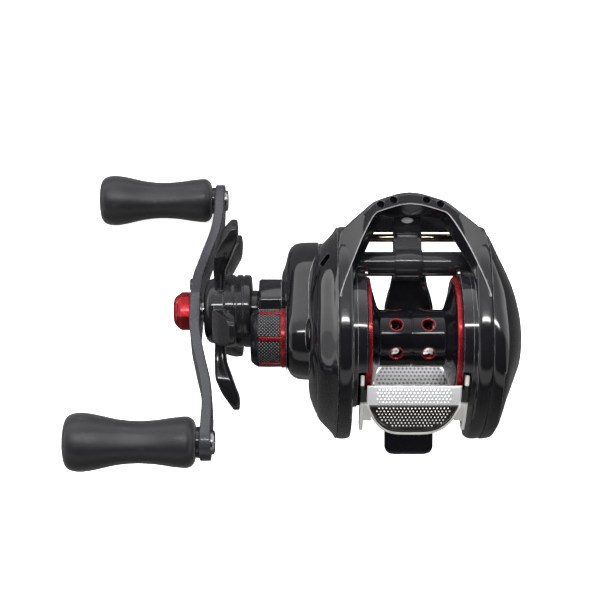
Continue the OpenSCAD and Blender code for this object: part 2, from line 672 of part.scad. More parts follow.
worm_groove = 0.8;          // depth of the groove
worm_steps = 60;            // rings of points along the shaft, and points in each ring
worm_around = 24;
groove_half = 40;           // half the groove's width, in degrees around the shaft
function worm_cut(a) = let (d = abs((a % 360 + 540) % 360 - 180))
    d < groove_half ? worm_groove * (1 + cos(180 * d / groove_half)) / 2 : 0;
function worm_radius(i, a) = let (h = 360 * worm_turns * i / worm_steps)
    (i == 0 || i == worm_steps) ? worm_r : worm_r - max(worm_cut(a - h), worm_cut(a + h));
function worm_point(i, k) = let (a = 360 * k / worm_around, r = worm_radius(i, a))
    [groove_reach * (2 * i / worm_steps - 1), WORM[0] + r * cos(a), WORM[1] + r * sin(a)];

// Double-helix cam shaft: crossing grooves cut into a round bar
module worm_shaft() color(STEEL) {
    n = worm_around;
    rod(-20, -worm_half, 1.6, WORM);
    rod(worm_half, 18.4, 1.6, WORM);
    both_sides() rod(groove_reach, worm_half, worm_r + 0.15, WORM);
    polyhedron([for (i = [0:worm_steps], k = [0:n - 1]) worm_point(i, k)],
        concat([[for (k = [0:n - 1]) k]], [[for (k = [n - 1:-1:0]) worm_steps * n + k]],
            [for (i = [0:worm_steps - 1], k = [0:n - 1], half = [0, 1])
                let (next = (k + 1) % n, a = i * n + k, b = (i + 1) * n + k, c = (i + 1) * n + next,
                    d = i * n + next)
                half == 0 ? [a, b, c] : [a, c, d]]));
}

module worm_gear() color(BRASS) difference() {
    translate([0, WORM[0], WORM[1]]) slab(-20, -17.7)
        gear_outline(worm_teeth, cog_module, worm_side + 180 + 180 / worm_teeth);
    rod(-22, -16, 1.6 + seat, WORM);
}

module worm_tube() color(BLACK) difference() {
    tube(-wall_in, wall_in, worm_tube_r, worm_tube_bore, WORM);
    translate([-12.6, WORM[0] - 1.5, WORM[1] - 6]) cube([25.2, 3, 4]);
}

module worm_bushes() color(BRASS) {
    tube(-17.4, -wall_in - seat, worm_tube_r, 1.6 + fit, WORM);
    tube(wall_in + seat, 18.6, worm_tube_r, 1.6 + fit, WORM);
}

module guide_rod() color(BRASS) rod(-wall_in - 0.7, wall_in + 0.7, 1.2, ROD);

carriage_x = [-4.3, 3.6];
carriage_r = norm(WORM - SPOOL) - flange_r - 0.2;   // passes the spool's flanges
module levelwind_carriage() color(BLACK) difference() {
    union() {
        rod(carriage_x[0], carriage_x[1], carriage_r, WORM);
        rod(carriage_x[0] + 1, carriage_x[1] - 1, 2.4, ROD);
        // rear shield, which passes in front of the casing rings, and bridge to the guide rod
        slab(carriage_x[0], carriage_x[1]) {
            polygon([[15.9, 11.4], [17, 13.4], [19.4, 16.4], [21, 12]]);
            polygon([[23, 17.6], [28.4, 16.6], [28.4, 12.2], [23, 12]]);
        }
        // upright that holds the line guide
        slab(carriage_x[0], carriage_x[1]) polygon([[28, 12.2], [28, 16.6], [33.4, 16.4], [35.8, 15.4],
            [35.8, 6.6], [33, 5.8], [30.4, 6.4], [30, 12]]);
        // cap that holds the pawl
        translate([-0.4, WORM[0], WORM[1] - 7.4]) cylinder(r = 1.9, h = 4);
    }
    rod(-20, 20, worm_tube_r + fit, WORM);
    rod(-20, 20, 1.2 + fit, ROD);
    translate([-0.4, 0, 11]) rotate([-90, 0, 0]) cylinder(r = 2.2 + seat, h = 60);
}

// Hard ring that the line runs through
module line_guide() color(CHROME) translate([-0.4, 29.6, 11]) rotate([-90, 0, 0]) difference() {
    cylinder(r = 2.2, h = 6.3);
    translate([0, 0, -1]) cylinder(r = 1.3, h = 10);
}

frame();
reel_foot();
foot_rivets();
front_hood();
gear_side_plate();
gear_set_plate();
gear_case_cover();
palm_side_plate();
brake_housing();
deck_plate();
case_screws();
spool();
spool_rims();
spool_shaft();
spool_pin();
brake_rotor();
spool_bearing_palm();
spool_bearing_handle();
pinion_bearing();
drive_bearing();
shaft_bearing();
one_way_bearing();
brake_dial();
magnet_ring();
tension_cap();
tension_cap_trim();
tension_shim();
cap_seal();
drive_shaft();
main_gear();
drag_washers();
drag_plates();
inner_tube();
neck_collar();
spring_washers();
star_nut();
star_drag();
drive_cog();
handle_arm();
handle_nut();
nut_retainer();
knob_shafts();
knob_washers();
knob_front();
knob_rear();
knob_cap_front();
knob_cap_rear();
pinion();
yoke();
yoke_pins();
yoke_springs();
clutch_cam();
thumb_bar();
worm_shaft();
worm_gear();
worm_tube();
worm_bushes();
guide_rod();
levelwind_carriage();
line_guide();
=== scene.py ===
"""Looks of the baitcasting reel: smooth shells, knurls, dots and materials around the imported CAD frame."""
import json
import math

import bmesh
import bpy
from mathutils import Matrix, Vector


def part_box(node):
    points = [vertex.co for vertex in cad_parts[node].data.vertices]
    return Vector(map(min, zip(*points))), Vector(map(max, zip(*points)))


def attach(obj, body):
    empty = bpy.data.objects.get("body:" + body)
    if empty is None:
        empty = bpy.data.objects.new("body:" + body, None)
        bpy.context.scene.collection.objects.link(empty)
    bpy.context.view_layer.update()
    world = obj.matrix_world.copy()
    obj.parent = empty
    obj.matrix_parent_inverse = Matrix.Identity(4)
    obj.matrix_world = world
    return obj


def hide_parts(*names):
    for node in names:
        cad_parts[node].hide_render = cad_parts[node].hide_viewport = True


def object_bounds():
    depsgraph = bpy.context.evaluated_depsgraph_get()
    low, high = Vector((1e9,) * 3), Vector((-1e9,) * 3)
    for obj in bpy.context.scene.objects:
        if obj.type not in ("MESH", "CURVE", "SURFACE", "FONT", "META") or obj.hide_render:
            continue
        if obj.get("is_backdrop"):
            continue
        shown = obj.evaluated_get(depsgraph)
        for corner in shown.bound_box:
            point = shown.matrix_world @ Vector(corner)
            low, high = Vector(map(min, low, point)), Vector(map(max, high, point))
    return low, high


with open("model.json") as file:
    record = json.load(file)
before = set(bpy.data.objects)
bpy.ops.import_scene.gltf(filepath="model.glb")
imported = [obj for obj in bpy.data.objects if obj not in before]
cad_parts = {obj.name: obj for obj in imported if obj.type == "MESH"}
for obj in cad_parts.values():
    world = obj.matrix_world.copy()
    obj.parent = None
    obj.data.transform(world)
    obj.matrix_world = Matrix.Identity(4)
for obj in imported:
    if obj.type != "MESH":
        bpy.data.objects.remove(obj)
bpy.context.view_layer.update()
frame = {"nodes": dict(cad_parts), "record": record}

MM = 0.001


# ---- places read from the frame, in millimetres ----

def box_mm(node):
    low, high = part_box(node)
    return [v / MM for v in low], [v / MM for v in high]


def joint(name):
    return next(j for j in frame["record"]["behaviour"]["joints"] if j["name"] == name)


def joint_place(name):
    """Y and Z of a joint's axis, in millimetres."""
    return joint(name)["pos_m"][1] / MM, joint(name)["pos_m"][2] / MM


SPOOL = joint_place("spool_spin")
DRIVE = joint_place("handle_turn")
WORM = joint_place("worm_spin")
KNOBS = {"front": joint_place("knob_front_spin"), "rear": joint_place("knob_rear_spin")}
_rod_low, _rod_high = box_mm("guide_rod")
ROD = ((_rod_low[1] + _rod_high[1]) / 2, (_rod_low[2] + _rod_high[2]) / 2)
WALL_OUT = box_mm("frame")[1][0]
HANDLE_TILT = math.atan2(KNOBS["front"][1] - DRIVE[1], KNOBS["front"][0] - DRIVE[0])


# ---- outlines ----

def smooth_loop(points, steps):
    """Catmull-Rom curve through a closed loop of points."""
    n = len(points)
    out = []
    for i in range(n):
        a, b, c, d = points[i - 1], points[i], points[(i + 1) % n], points[(i + 2) % n]
        for k in range(steps):
            out.append(spline_point(a, b, c, d, k / steps))
    return out


def smooth_line(points, steps):
    """Catmull-Rom curve through an open run of points."""
    n = len(points)
    out = []
    for i in range(n - 1):
        a, b, c, d = points[max(i - 1, 0)], points[i], points[i + 1], points[min(i + 2, n - 1)]
        for k in range(steps):
            out.append(spline_point(a, b, c, d, k / steps))
    out.append(tuple(points[-1]))
    return out


def spline_point(a, b, c, d, t):
    return tuple((2 * q + (r - p) * t + (2 * p - 5 * q + 4 * r - s) * t * t
                  + (3 * q - p - 3 * r + s) * t ** 3) / 2
                 for p, q, r, s in zip(a, b, c, d))


def circle(centre, radius, count, start=0.0):
    return [(centre[0] + radius * math.cos(start + 2 * math.pi * k / count),
             centre[1] + radius * math.sin(start + 2 * math.pi * k / count)) for k in range(count)]


def by_angle(points, centre, count):
    """The loop's points seen from the centre at even angles, so that two loops pair up point by point."""
    polar = []
    for i, p in enumerate(points):
        q = points[(i + 1) % len(points)]
        polar.append((p[0] - centre[0], p[1] - centre[1], q[0] - centre[0], q[1] - centre[1]))
    out = []
    for k in range(count):
        angle = 2 * math.pi * k / count
        dx, dy = math.cos(angle), math.sin(angle)
        best = 0.0
        for x0, y0, x1, y1 in polar:
            ex, ey = x1 - x0, y1 - y0
            det = dx * -ey + dy * ex
            if abs(det) < 1e-12:
                continue
            reach = (x0 * -ey + y0 * ex) / det
            along = (dx * y0 - dy * x0) / det
            if -1e-9 <= along <= 1 + 1e-9 and reach > best:
                best = reach
        out.append((centre[0] + dx * best, centre[1] + dy * best))
    return out


def slices(outline, stations, side=1):
    """Copies of an outline at places along X, each drawn in by its own distance."""
    return [at_x(side * x, inset(outline, distance)) for x, distance in stations]


def scaled(points, centre, factor):
    return [(centre[0] + (p[0] - centre[0]) * factor, centre[1] + (p[1] - centre[1]) * factor)
            for p in points]


def mixed(one, two, share):
    return [(a[0] * (1 - share) + b[0] * share, a[1] * (1 - share) + b[1] * share) for a, b in zip(one, two)]


def inset(points, distance):
    """Moves each point of a loop inwards along its normal."""
    n = len(points)
    area = sum(points[i - 1][0] * points[i][1] - points[i][0] * points[i - 1][1] for i in range(n))
    sign = 1 if area > 0 else -1
    out = []
    for i, p in enumerate(points):
        q, r = points[i - 1], points[(i + 1) % n]
        tx, ty = r[0] - q[0], r[1] - q[1]
        size = math.hypot(tx, ty) or 1.0
        out.append((p[0] - sign * ty / size * distance, p[1] + sign * tx / size * distance))
    return out


RIM = [(-27.6, 2.6), (-29.3, 8), (-28.2, 15.5), (-24.2, 25.5), (-17, 34.8), (-8, 41.3), (2, 41.9),
       (13, 39.3), (23, 35.4), (29.8, 27), (31, 17), (28, 7.4), (20, 2.2), (2, 1.2), (-15, 1.2)]
PALM = [(-27.6, 1.6), (-29.2, 8), (-28.2, 15.5), (-24.2, 25.5), (-17, 34.8), (-8, 41.3), (2, 41.9),
        (13, 39.3), (23, 35.4), (29, 27), (29.6, 16), (25, 4), (15, -3.4), (0, -5.4), (-16, -3)]


# ---- mesh making, all in millimetres ----

def add_mesh(name, vertices, faces, sharp=40):
    mesh = bpy.data.meshes.new(name)
    mesh.from_pydata([tuple(c * MM for c in v) for v in vertices], [], faces)
    mesh.validate()
    mesh.update()
    obj = bpy.data.objects.new(name, mesh)
    bpy.context.scene.collection.objects.link(obj)
    smooth(obj, sharp)
    return obj


def smooth(obj, sharp=40):
    """Smooth shading, with edges sharper than the angle kept crisp."""
    bm = bmesh.new()
    bm.from_mesh(obj.data)
    bmesh.ops.recalc_face_normals(bm, faces=bm.faces)
    limit = math.radians(sharp)
    for edge in bm.edges:
        edge.smooth = len(edge.link_faces) != 2 or edge.calc_face_angle(0) < limit
    for face in bm.faces:
        face.smooth = True
    bm.to_mesh(obj.data)
    bm.free()


def loft(name, loops, closed=True, cap=True, wrap=False, sharp=40):
    """Skin over a run of loops with equal numbers of 3-D points."""
    count = len(loops[0])
    vertices = [p for loop in loops for p in loop]
    faces = []
    rows = len(loops)
    for i in range(rows if wrap else rows - 1):
        for k in range(count if closed else count - 1):
            a, b = i * count + k, i * count + (k + 1) % count
            c, d = ((i + 1) % rows) * count + (k + 1) % count, ((i + 1) % rows) * count + k
            faces.append((a, b, c, d))
    if cap and closed and not wrap:
        faces.append(tuple(range(count - 1, -1, -1)))
        faces.append(tuple((rows - 1) * count + k for k in range(count)))
    return add_mesh(name, vertices, faces, sharp)


def at_x(x, loop):
    return [(x, p[0], p[1]) for p in loop]


def turned(name, profile, at, count=96, wrap=True, ripple=None, sharp=30):
    """Solid of revolution about an X axis from [x, radius] points; ripple(angle, x) can change the radius."""
    loops = []
    for x, r in profile:
        loop = []
        for k in range(count):
            angle = 2 * math.pi * k / count
            reach = r + (ripple(angle, x, r) if ripple else 0.0)
            loop.append((x, at[0] + reach * math.cos(angle), at[1] + reach * math.sin(angle)))
        loops.append(loop)
    return loft(name, loops, wrap=wrap, cap=not wrap, sharp=sharp)


def rounded(profile, radius, steps=4):
    """Rounds the corners of a closed profile of 2-D points."""
    n = len(profile)
    out = []
    for i, p in enumerate(profile):
        q, r = profile[i - 1], profile[(i + 1) % n]
        size = radius[i] if isinstance(radius, (list, tuple)) else radius
        a = toward(p, q, min(size, math.dist(p, q) * 0.45))
        b = toward(p, r, min(size, math.dist(p, r) * 0.45))
        for k in range(steps + 1):
            t = k / steps
            out.append(tuple(a[j] * (1 - t) ** 2 + 2 * p[j] * t * (1 - t) + b[j] * t * t for j in range(2)))
    return out


def toward(p, q, distance):
    size = math.dist(p, q) or 1.0
    return tuple(p[j] + (q[j] - p[j]) * distance / size for j in range(len(p)))


def join(name, parts):
    """One object from several meshes."""
    bm = bmesh.new()
    for part in parts:
        bm.from_mesh(part.data)
    mesh = bpy.data.meshes.new(name)
    bm.to_mesh(mesh)
    bm.free()
    for part in parts:
        bpy.data.objects.remove(part)
    obj = bpy.data.objects.new(name, mesh)
    bpy.context.scene.collection.objects.link(obj)
    return obj


def cut(obj, tools):
    """Cuts the tools out of the object and removes them."""
    for tool in tools:
        mod = obj.modifiers.new("cut", "BOOLEAN")
        mod.operation = "DIFFERENCE"
        mod.solver = "EXACT"
        mod.object = tool
    apply_modifiers(obj)
    for tool in tools:
        bpy.data.objects.remove(tool)


def apply_modifiers(obj):
    graph = bpy.context.evaluated_depsgraph_get()
    mesh = bpy.data.meshes.new_from_object(obj.evaluated_get(graph))
    obj.modifiers.clear()
    old = obj.data
    obj.data = mesh
    mesh.name = obj.name
    bpy.data.meshes.remove(old)


# ---- materials ----

class Nodes:
    """Short way to write a node tree."""

    def __init__(self, name):
        self.mat = bpy.data.materials.new(name)
        self.mat.use_nodes = True
        self.tree = self.mat.node_tree
        self.shader = self.tree.nodes["Principled BSDF"]
        self.coords = self.add("ShaderNodeTexCoord").outputs["Object"]

    def add(self, kind, **inputs):
        node = self.tree.nodes.new(kind)
        for key, value in inputs.items():
            self.put(node.inputs[key.replace("_", " ")], value)
        return node

    def put(self, socket, value):
        if isinstance(value, bpy.types.NodeSocket):
            self.tree.links.new(value, socket)
        else:
            socket.default_value = value

    def set(self, key, value):
        self.put(self.shader.inputs[key], value)

    def noise(self, scale, detail=3.0, stretch=None, roughness=0.5):
        coords = self.coords
        if stretch:
            mapping = self.add("ShaderNodeMapping", Vector=coords)
            mapping.inputs["Scale"].default_value = stretch
            coords = mapping.outputs[0]
        node = self.add("ShaderNodeTexNoise", Vector=coords, Scale=scale, Detail=detail, Roughness=roughness)
        return node.outputs["Fac"]

    def ramp(self, value, low, high, out_low, out_high):
        node = self.add("ShaderNodeMapRange")
        self.put(node.inputs["Value"], value)
        for key, number in (("From Min", low), ("From Max", high), ("To Min", out_low), ("To Max", out_high)):
            self.put(node.inputs[key], number)
        return node.outputs[0]

    def blend(self, share, one, two):
        node = self.add("ShaderNodeMix")
        node.data_type = "RGBA"
        self.put(node.inputs[0], share)
        self.put(node.inputs[6], one if isinstance(one, bpy.types.NodeSocket) else (*one, 1))
        self.put(node.inputs[7], two if isinstance(two, bpy.types.NodeSocket) else (*two, 1))
        return node.outputs[2]

    def math(self, operation, one, two=0.0):
        node = self.add("ShaderNodeMath")
        node.operation = operation
        self.put(node.inputs[0], one)
        self.put(node.inputs[1], two)
        return node.outputs[0]

    def bump(self, height, strength, distance=0.02, normal=None):
        node = self.add("ShaderNodeBump", Height=height, Strength=strength, Distance=distance * MM)
        if normal:
            self.put(node.inputs["Normal"], normal)
        return node.outputs[0]

    def edge_mask(self, radius, low=0.9, high=0.995):
        """Near 1 on sharp edges, from the difference between the rounded and the true normal."""
        round_normal = self.add("ShaderNodeBevel", Radius=radius * MM)
        round_normal.samples = 4
        geometry = self.add("ShaderNodeNewGeometry")
        dot = self.add("ShaderNodeVectorMath")
        dot.operation = "DOT_PRODUCT"
        self.put(dot.inputs[0], round_normal.outputs[0])
        self.put(dot.inputs[1], geometry.outputs["Normal"])
        return self.ramp(dot.outputs["Value"], low, high, 1.0, 0.0)

    def soft_edges(self, radius):
        node = self.add("ShaderNodeBevel", Radius=radius * MM)
        node.samples = 4
        return node.outputs[0]


def finish_of(name, base, rough, metallic=0.0, coat=0.0, spread=0.15, grain=900.0, bump=0.04, smudge=0.06,
              wear_and_edge_glint=None, edge_mask_radius=0.15, brushed=None, edge=0.12, specular=0.5, coat_rough=0.02):
    """A finish with colour drift, uneven roughness, fine grain and a lighter colour along its edges, partly
    wear and partly a painted edge highlight.
    """
    n = Nodes(name)
    drift = n.noise(60.0, 4.0)
    dark = tuple(c * (1 - spread) for c in base)
    light = tuple(min(1.0, c * (1 + spread)) for c in base)
    color = n.blend(drift, dark, light)
    smear = n.noise(140.0, 5.0, roughness=0.62)
    roughness = n.ramp(smear, 0.35, 0.7, max(0.02, rough - smudge * 0.4), rough + smudge)
    if brushed:
        lines = n.noise(grain, 2.0, stretch=brushed)
    else:
        lines = n.noise(grain, 2.0)
    if wear_and_edge_glint:
        # Every edge gets at least 0.35 of the edge colour, a painted edge highlight, with wear from the noise
        # on top
        mask = n.math("MULTIPLY", n.edge_mask(edge_mask_radius), n.ramp(n.noise(420.0, 4.0), 0.42, 0.6, 0.35, 0.9))
        color = n.blend(mask, color, wear_and_edge_glint)
    normal = n.bump(lines, bump, 0.02, n.soft_edges(edge) if edge else None)
    n.set("Base Color", color)
    n.set("Roughness", roughness)
    n.set("Metallic", metallic)
    n.set("Specular IOR Level", specular)
    n.set("Coat Weight", coat)
    n.set("Coat Roughness", coat_rough)
    n.set("Normal", normal)
    return n.mat


BLACK = (0.0035, 0.0035, 0.0042)
ALONG_X = (0.06, 1.0, 1.0)
AROUND_X = (1.0, 0.08, 0.08)

FINISHES = {
    "gloss_black": dict(base=BLACK, rough=0.11, coat=1.0, bump=0.012, smudge=0.05, specular=0.6, wear_and_edge_glint=(0.2,
                        0.2, 0.21)),
    "satin_black": dict(base=(0.004, 0.004, 0.005), rough=0.13, coat=1.0, bump=0.015, smudge=0.06,
                        specular=0.6, wear_and_edge_glint=(0.2, 0.2, 0.21)),
    "foot_black": dict(base=(0.006, 0.006, 0.007), rough=0.2, coat=0.4, bump=0.05, wear_and_edge_glint=(0.12, 0.12, 0.12)),
    "spool_black": dict(base=(0.003, 0.003, 0.004), rough=0.12, coat=0.6, metallic=0.2, specular=0.3,
                        bump=0.03, brushed=AROUND_X),
    "red_anodised": dict(base=(0.34, 0.012, 0.018), rough=0.26, metallic=0.85, bump=0.05, brushed=AROUND_X,
                         wear_and_edge_glint=(0.8, 0.35, 0.33), coat=0.3),
    "chrome": dict(base=(0.86, 0.86, 0.87), rough=0.1, metallic=0.72, bump=0.02, smudge=0.08, spread=0.04),
    # darker grey for the deck's studs, painted shade standing for the dimple hollows
    "deck_dimple_painted_shade": dict(base=(0.34, 0.34, 0.35), rough=0.4, metallic=0.2, bump=0.1, spread=0.1),
    "deck_steel": dict(base=(0.93, 0.93, 0.94), rough=0.4, metallic=0.0, bump=0.1, spread=0.06),
    "steel": dict(base=(0.55, 0.55, 0.56), rough=0.24, metallic=1.0, brushed=AROUND_X, bump=0.12,
                  spread=0.08),
    "brass": dict(base=(0.68, 0.5, 0.22), rough=0.26, metallic=1.0, brushed=AROUND_X, bump=0.1, spread=0.1),
    "rod_brass": dict(base=(0.66, 0.58, 0.42), rough=0.14, metallic=1.0, brushed=ALONG_X, bump=0.06),
    "gunmetal": dict(base=(0.052, 0.053, 0.06), rough=0.26, metallic=0.7, bump=0.05, brushed=ALONG_X,
                     wear_and_edge_glint=(0.55, 0.55, 0.57), coat=0.5, coat_rough=0.1),
    # grey strip on the nose ridge, a painted highlight
    "ridge_painted_highlight": dict(base=(0.24, 0.24, 0.25), rough=0.28, metallic=0.3, bump=0.03),
    "star_black": dict(base=(0.008, 0.008, 0.009), rough=0.13, coat=1.0, metallic=0.3, bump=0.03,
                       wear_and_edge_glint=(0.09, 0.09, 0.095)),
    "dimple_black": dict(base=(0.001, 0.001, 0.001), rough=0.3, specular=0.25, bump=0.03, wear_and_edge_glint=(0.3, 0.3,
                         0.3)),
    "carriage_black": dict(base=(0.009, 0.009, 0.010), rough=0.16, coat=0.7, bump=0.03),
    "carbon": dict(base=(0.03, 0.03, 0.032), rough=0.5, bump=0.3, grain=1500.0),
    "seal_rubber": dict(base=(0.02, 0.02, 0.02), rough=0.6, bump=0.15),
    "cap_steel": dict(base=(0.78, 0.78, 0.79), rough=0.16, metallic=1.0, bump=0.04, spread=0.05),
    "magnet": dict(base=(0.5, 0.5, 0.52), rough=0.3, metallic=1.0, bump=0.08),
    "dial_grey": dict(base=(0.035, 0.036, 0.04), rough=0.24, metallic=0.6, coat=0.5, bump=0.06,
                      brushed=AROUND_X, wear_and_edge_glint=(0.25, 0.25, 0.26)),
}
MATERIALS = {name: finish_of(name, **look) for name, look in FINISHES.items()}


def knob_rubber():
    """Soft-touch rubber: matte, with a fine pebble, handling marks and a faint dusty sheen."""
    n = Nodes("knob_rubber")
    cloud = n.noise(90.0, 5.0, roughness=0.6)
    color = n.blend(cloud, (0.005, 0.005, 0.006), (0.009, 0.009, 0.010))
    pebble = n.noise(2600.0, 2.0)
    speck = n.noise(5200.0, 1.0)
    scuff = n.ramp(n.noise(320.0, 6.0, roughness=0.7), 0.6, 0.75, 0.0, 0.5)
    height = n.math("ADD", pebble, n.math("MULTIPLY", speck, 0.5))
    n.set("Base Color", n.blend(scuff, color, (0.045, 0.045, 0.047)))
    n.set("Roughness", n.ramp(cloud, 0.3, 0.7, 0.34, 0.44))
    n.set("Specular IOR Level", 0.7)
    n.set("Sheen Weight", 0.1)
    n.set("Sheen Roughness", 0.4)
    n.set("Normal", n.bump(height, 0.16, 0.03))
    return n.mat


MATERIALS["knob_rubber"] = knob_rubber()


def thumb_chrome():
    """Bright plating: polished behind the crease of the thumb bar, satin in front of it."""
    n = Nodes("thumb_chrome")
    split = n.add("ShaderNodeSeparateXYZ", Vector=n.coords)
    satin = n.ramp(split.outputs["Y"], -17.95 * MM, -17.6 * MM, 0.0, 1.0)
    smear = n.noise(160.0, 5.0, roughness=0.6)
    grain = n.noise(1400.0, 2.0)
    # The dark brown base behind the crease is painted shade for the dark surroundings that the polished facet
    # mirrors; the satin front is lighter
    n.set("Base Color", n.blend(satin, n.blend(smear, (0.2, 0.185, 0.17), (0.3, 0.28, 0.26)),
                                (0.5, 0.5, 0.51)))
    n.set("Metallic", n.ramp(satin, 0.0, 1.0, 1.0, 0.25))
    n.set("Roughness", n.math("ADD", n.ramp(satin, 0.0, 1.0, 0.1, 0.3), n.ramp(smear, 0.35, 0.7, 0.0, 0.08)))
    n.set("Normal", n.bump(grain, 0.05, 0.02, n.soft_edges(0.15)))
    return n.mat


MATERIALS["thumb_chrome"] = thumb_chrome()
# Near-white stud colour gives painted glints on the small plated domes of the thumb bar
MATERIALS["stud_painted_glint"] = finish_of("stud_painted_glint", (0.95, 0.95, 0.95), 0.22, metallic=0.2, bump=0.04,
                                      spread=0.03)


def arm_chrome():
    """Plating of the thumb bar's arms, with painted shade where they run down between the casing rings."""
    n = Nodes("arm_chrome")
    along = n.add("ShaderNodeSeparateXYZ", Vector=n.coords).outputs["Y"]
    front = n.ramp(along, -12.5 * MM, -12.1 * MM, 0.0, 1.0)
    rear = n.ramp(along, -17.6 * MM, -16.8 * MM, 1.0, 0.0)
    smear = n.noise(160.0, 5.0, roughness=0.6)
    # Near-black base between the rings is painted shade where the arms dip out of the light
    outside_painted_shade = n.math("MAXIMUM", front, rear)
    n.set("Base Color", n.blend(outside_painted_shade, (0.02, 0.02, 0.02),
                                n.blend(smear, (0.6, 0.6, 0.58), (0.72, 0.72, 0.7))))
    n.set("Metallic", 0.45)
    n.set("Roughness", n.ramp(smear, 0.3, 0.7, 0.12, 0.24))
    n.set("Normal", n.bump(n.noise(1200.0, 2.0), 0.03, 0.02, n.soft_edges(0.12)))
    return n.mat


KNURL_COUNT = 52            # diamonds around the cast-control cap
KNURL_PITCH = 0.95          # and the length of each along it


def knurled_black():
    """Black anodising with a diamond knurl whose crests are painted lighter, a painted highlight on the
    crests.
    """
    n = Nodes("black_knurl")
    x, y, z = n.add("ShaderNodeSeparateXYZ", Vector=n.coords).outputs
    around = n.math("ARCTAN2", n.math("SUBTRACT", y, SPOOL[0] * MM), n.math("SUBTRACT", z, SPOOL[1] * MM))
    turns = n.math("MULTIPLY", around, KNURL_COUNT / (2 * math.pi))
    along = n.math("MULTIPLY", x, 1 / (KNURL_PITCH * MM))

    def ridge(value):
        return n.math("ABSOLUTE", n.math("SUBTRACT", n.math("FRACT", value), 0.5))
    crest = n.math("MULTIPLY", n.math("MINIMUM", ridge(n.math("ADD", turns, along)),
                                      ridge(n.math("SUBTRACT", turns, along))), 2.0)
    radius = n.math("SQRT", n.math("ADD", n.math("POWER", n.math("SUBTRACT", y, SPOOL[0] * MM), 2.0),
                                   n.math("POWER", n.math("SUBTRACT", z, SPOOL[1] * MM), 2.0)))
    band = n.math("MULTIPLY", n.ramp(radius, 7.8 * MM, 7.85 * MM, 0.0, 1.0),
                  n.math("MULTIPLY", n.ramp(x, -42.25 * MM, -42.2 * MM, 0.0, 1.0),
                         n.ramp(x, -36.15 * MM, -36.1 * MM, 1.0, 0.0)))
    # Lighter base on the crests of the knurl is a painted highlight
    crest_highlight = n.math("MULTIPLY", band, n.ramp(crest, 0.45, 0.85, 0.0, 1.0))
    n.set("Base Color", n.blend(crest_highlight, (0.005, 0.005, 0.006), (0.2, 0.2, 0.205)))
    n.set("Roughness", n.ramp(n.noise(300.0, 4.0), 0.3, 0.7, 0.2, 0.32))
    n.set("Metallic", 0.4)
    n.set("Coat Weight", 0.3)
    n.set("Normal", n.bump(n.math("MULTIPLY", crest, band), 0.6, 0.15, n.soft_edges(0.12)))
    return n.mat


MATERIALS["arm_chrome"] = arm_chrome()
MATERIALS["black_knurl"] = knurled_black()


def paint(obj, finish):
    obj.data.materials.clear()
    obj.data.materials.append(MATERIALS[finish])


def place(obj, body, finish, *replaced):
    """Gives a piece its finish, the body it rides on and the CAD nodes it stands for."""
    paint(obj, finish)
    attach(obj, body)
    if replaced:
        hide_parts(*replaced)
    return obj


def dress_cad():
    """Every CAD node starts with the finish of its own slot; pieces made below take over some of them."""
    for part in frame["record"]["subparts"]:
        obj = frame["nodes"][part["node"]]
        paint(obj, part["material_slot"])


dress_cad()

# ---- casing and frame ----

AROUND = 144
RIM_R = 17.0


def sheet(name, top, bottom, sharp=40):
    """Closed skin between two grids of points of the same shape."""
    rows, cols = len(top), len(top[0])
    vertices = [p for row in top for p in row] + [p for row in bottom for p in row]
    half = rows * cols
    faces = []
    for i in range(rows - 1):
        for k in range(cols - 1):
            a, b, c, d = i * cols + k, i * cols + k + 1, (i + 1) * cols + k + 1, (i + 1) * cols + k
            faces.append((a, b, c, d))
            faces.append((half + d, half + c, half + b, half + a))
    border = ([(0, k) for k in range(cols)] + [(i, cols - 1) for i in range(1, rows)]
              + [(rows - 1, k) for k in range(cols - 2, -1, -1)] + [(i, 0) for i in range(rows - 2, 0, -1)])
    for n, (i, k) in enumerate(border):
        j, m = border[(n + 1) % len(border)]
        a, b = i * cols + k, j * cols + m
        faces.append((b, a, half + a, half + b))
    return add_mesh(name, vertices, faces, sharp)


def convex(points):
    """Convex outline of some points."""
    points = sorted(set(points))

    def half(run):
        out = []
        for p in run:
            while len(out) > 1 and ((out[-1][0] - out[-2][0]) * (p[1] - out[-2][1])
                                    - (out[-1][1] - out[-2][1]) * (p[0] - out[-2][0])) <= 0:
                out.pop()
            out.append(p)
        return out[:-1]
    return half(points) + half(points[::-1])


def rim_loop(centre=SPOOL, count=AROUND, scale=1.0, shrink=0.0):
    points = smooth_loop(RIM, 12)
    if scale != 1.0:
        points = scaled(points, (0.6, SPOOL[1]), scale)
    points = by_angle(points, centre, count)
    return inset(points, shrink) if shrink else points


def frame_wall(name, side, bore):
    """Side wall between the spool ring and the side plate's seam, with a crowned top.

    The housing that the CAD frame has around the drive isn't part of it."""
    crown = [(16.4, 0.95), (16.55, 0.6), (16.95, 0.28), (17.7, 0.07), (18.6, 0.0), (19.5, 0.05),
             (20.05, 0.16), (20.25, 0.3), (20.3, 0.55)]
    loops = [at_x(side * x, rim_loop(shrink=s)) for x, s in crown]
    hole = circle(SPOOL, bore, AROUND)
    loops.append(at_x(side * 20.3, circle(SPOOL, bore + 0.3, AROUND)))
    loops.append(at_x(side * 20.1, hole))
    loops.append(at_x(side * 16.4, hole))
    return loft(name, loops, wrap=True, sharp=30)


def spool_ring(name, side, low_x, high_x, start, end, shoulder=True):
    """Arc of the ring beside a spool flange, from a start to an end angle."""
    bore, rim = 17.32, 19.0
    section = [(high_x, bore), (low_x, bore), (low_x, rim - 0.75), (low_x + 0.12, rim - 0.4),
               (low_x + 0.4, rim - 0.1), (low_x + 0.9, rim), (high_x, rim + 0.15)]
    if not shoulder:
        section = [(high_x, bore), (low_x, bore), (low_x, rim), (high_x, rim + 0.15)]
    steps = 96
    loops = []
    for k in range(steps + 1):
        angle = math.radians(start + (end - start) * k / steps)
        loops.append([(side * x, SPOOL[0] + r * math.cos(angle), SPOOL[1] + r * math.sin(angle))
                      for x, r in section])
    return loft(name, loops, sharp=30)


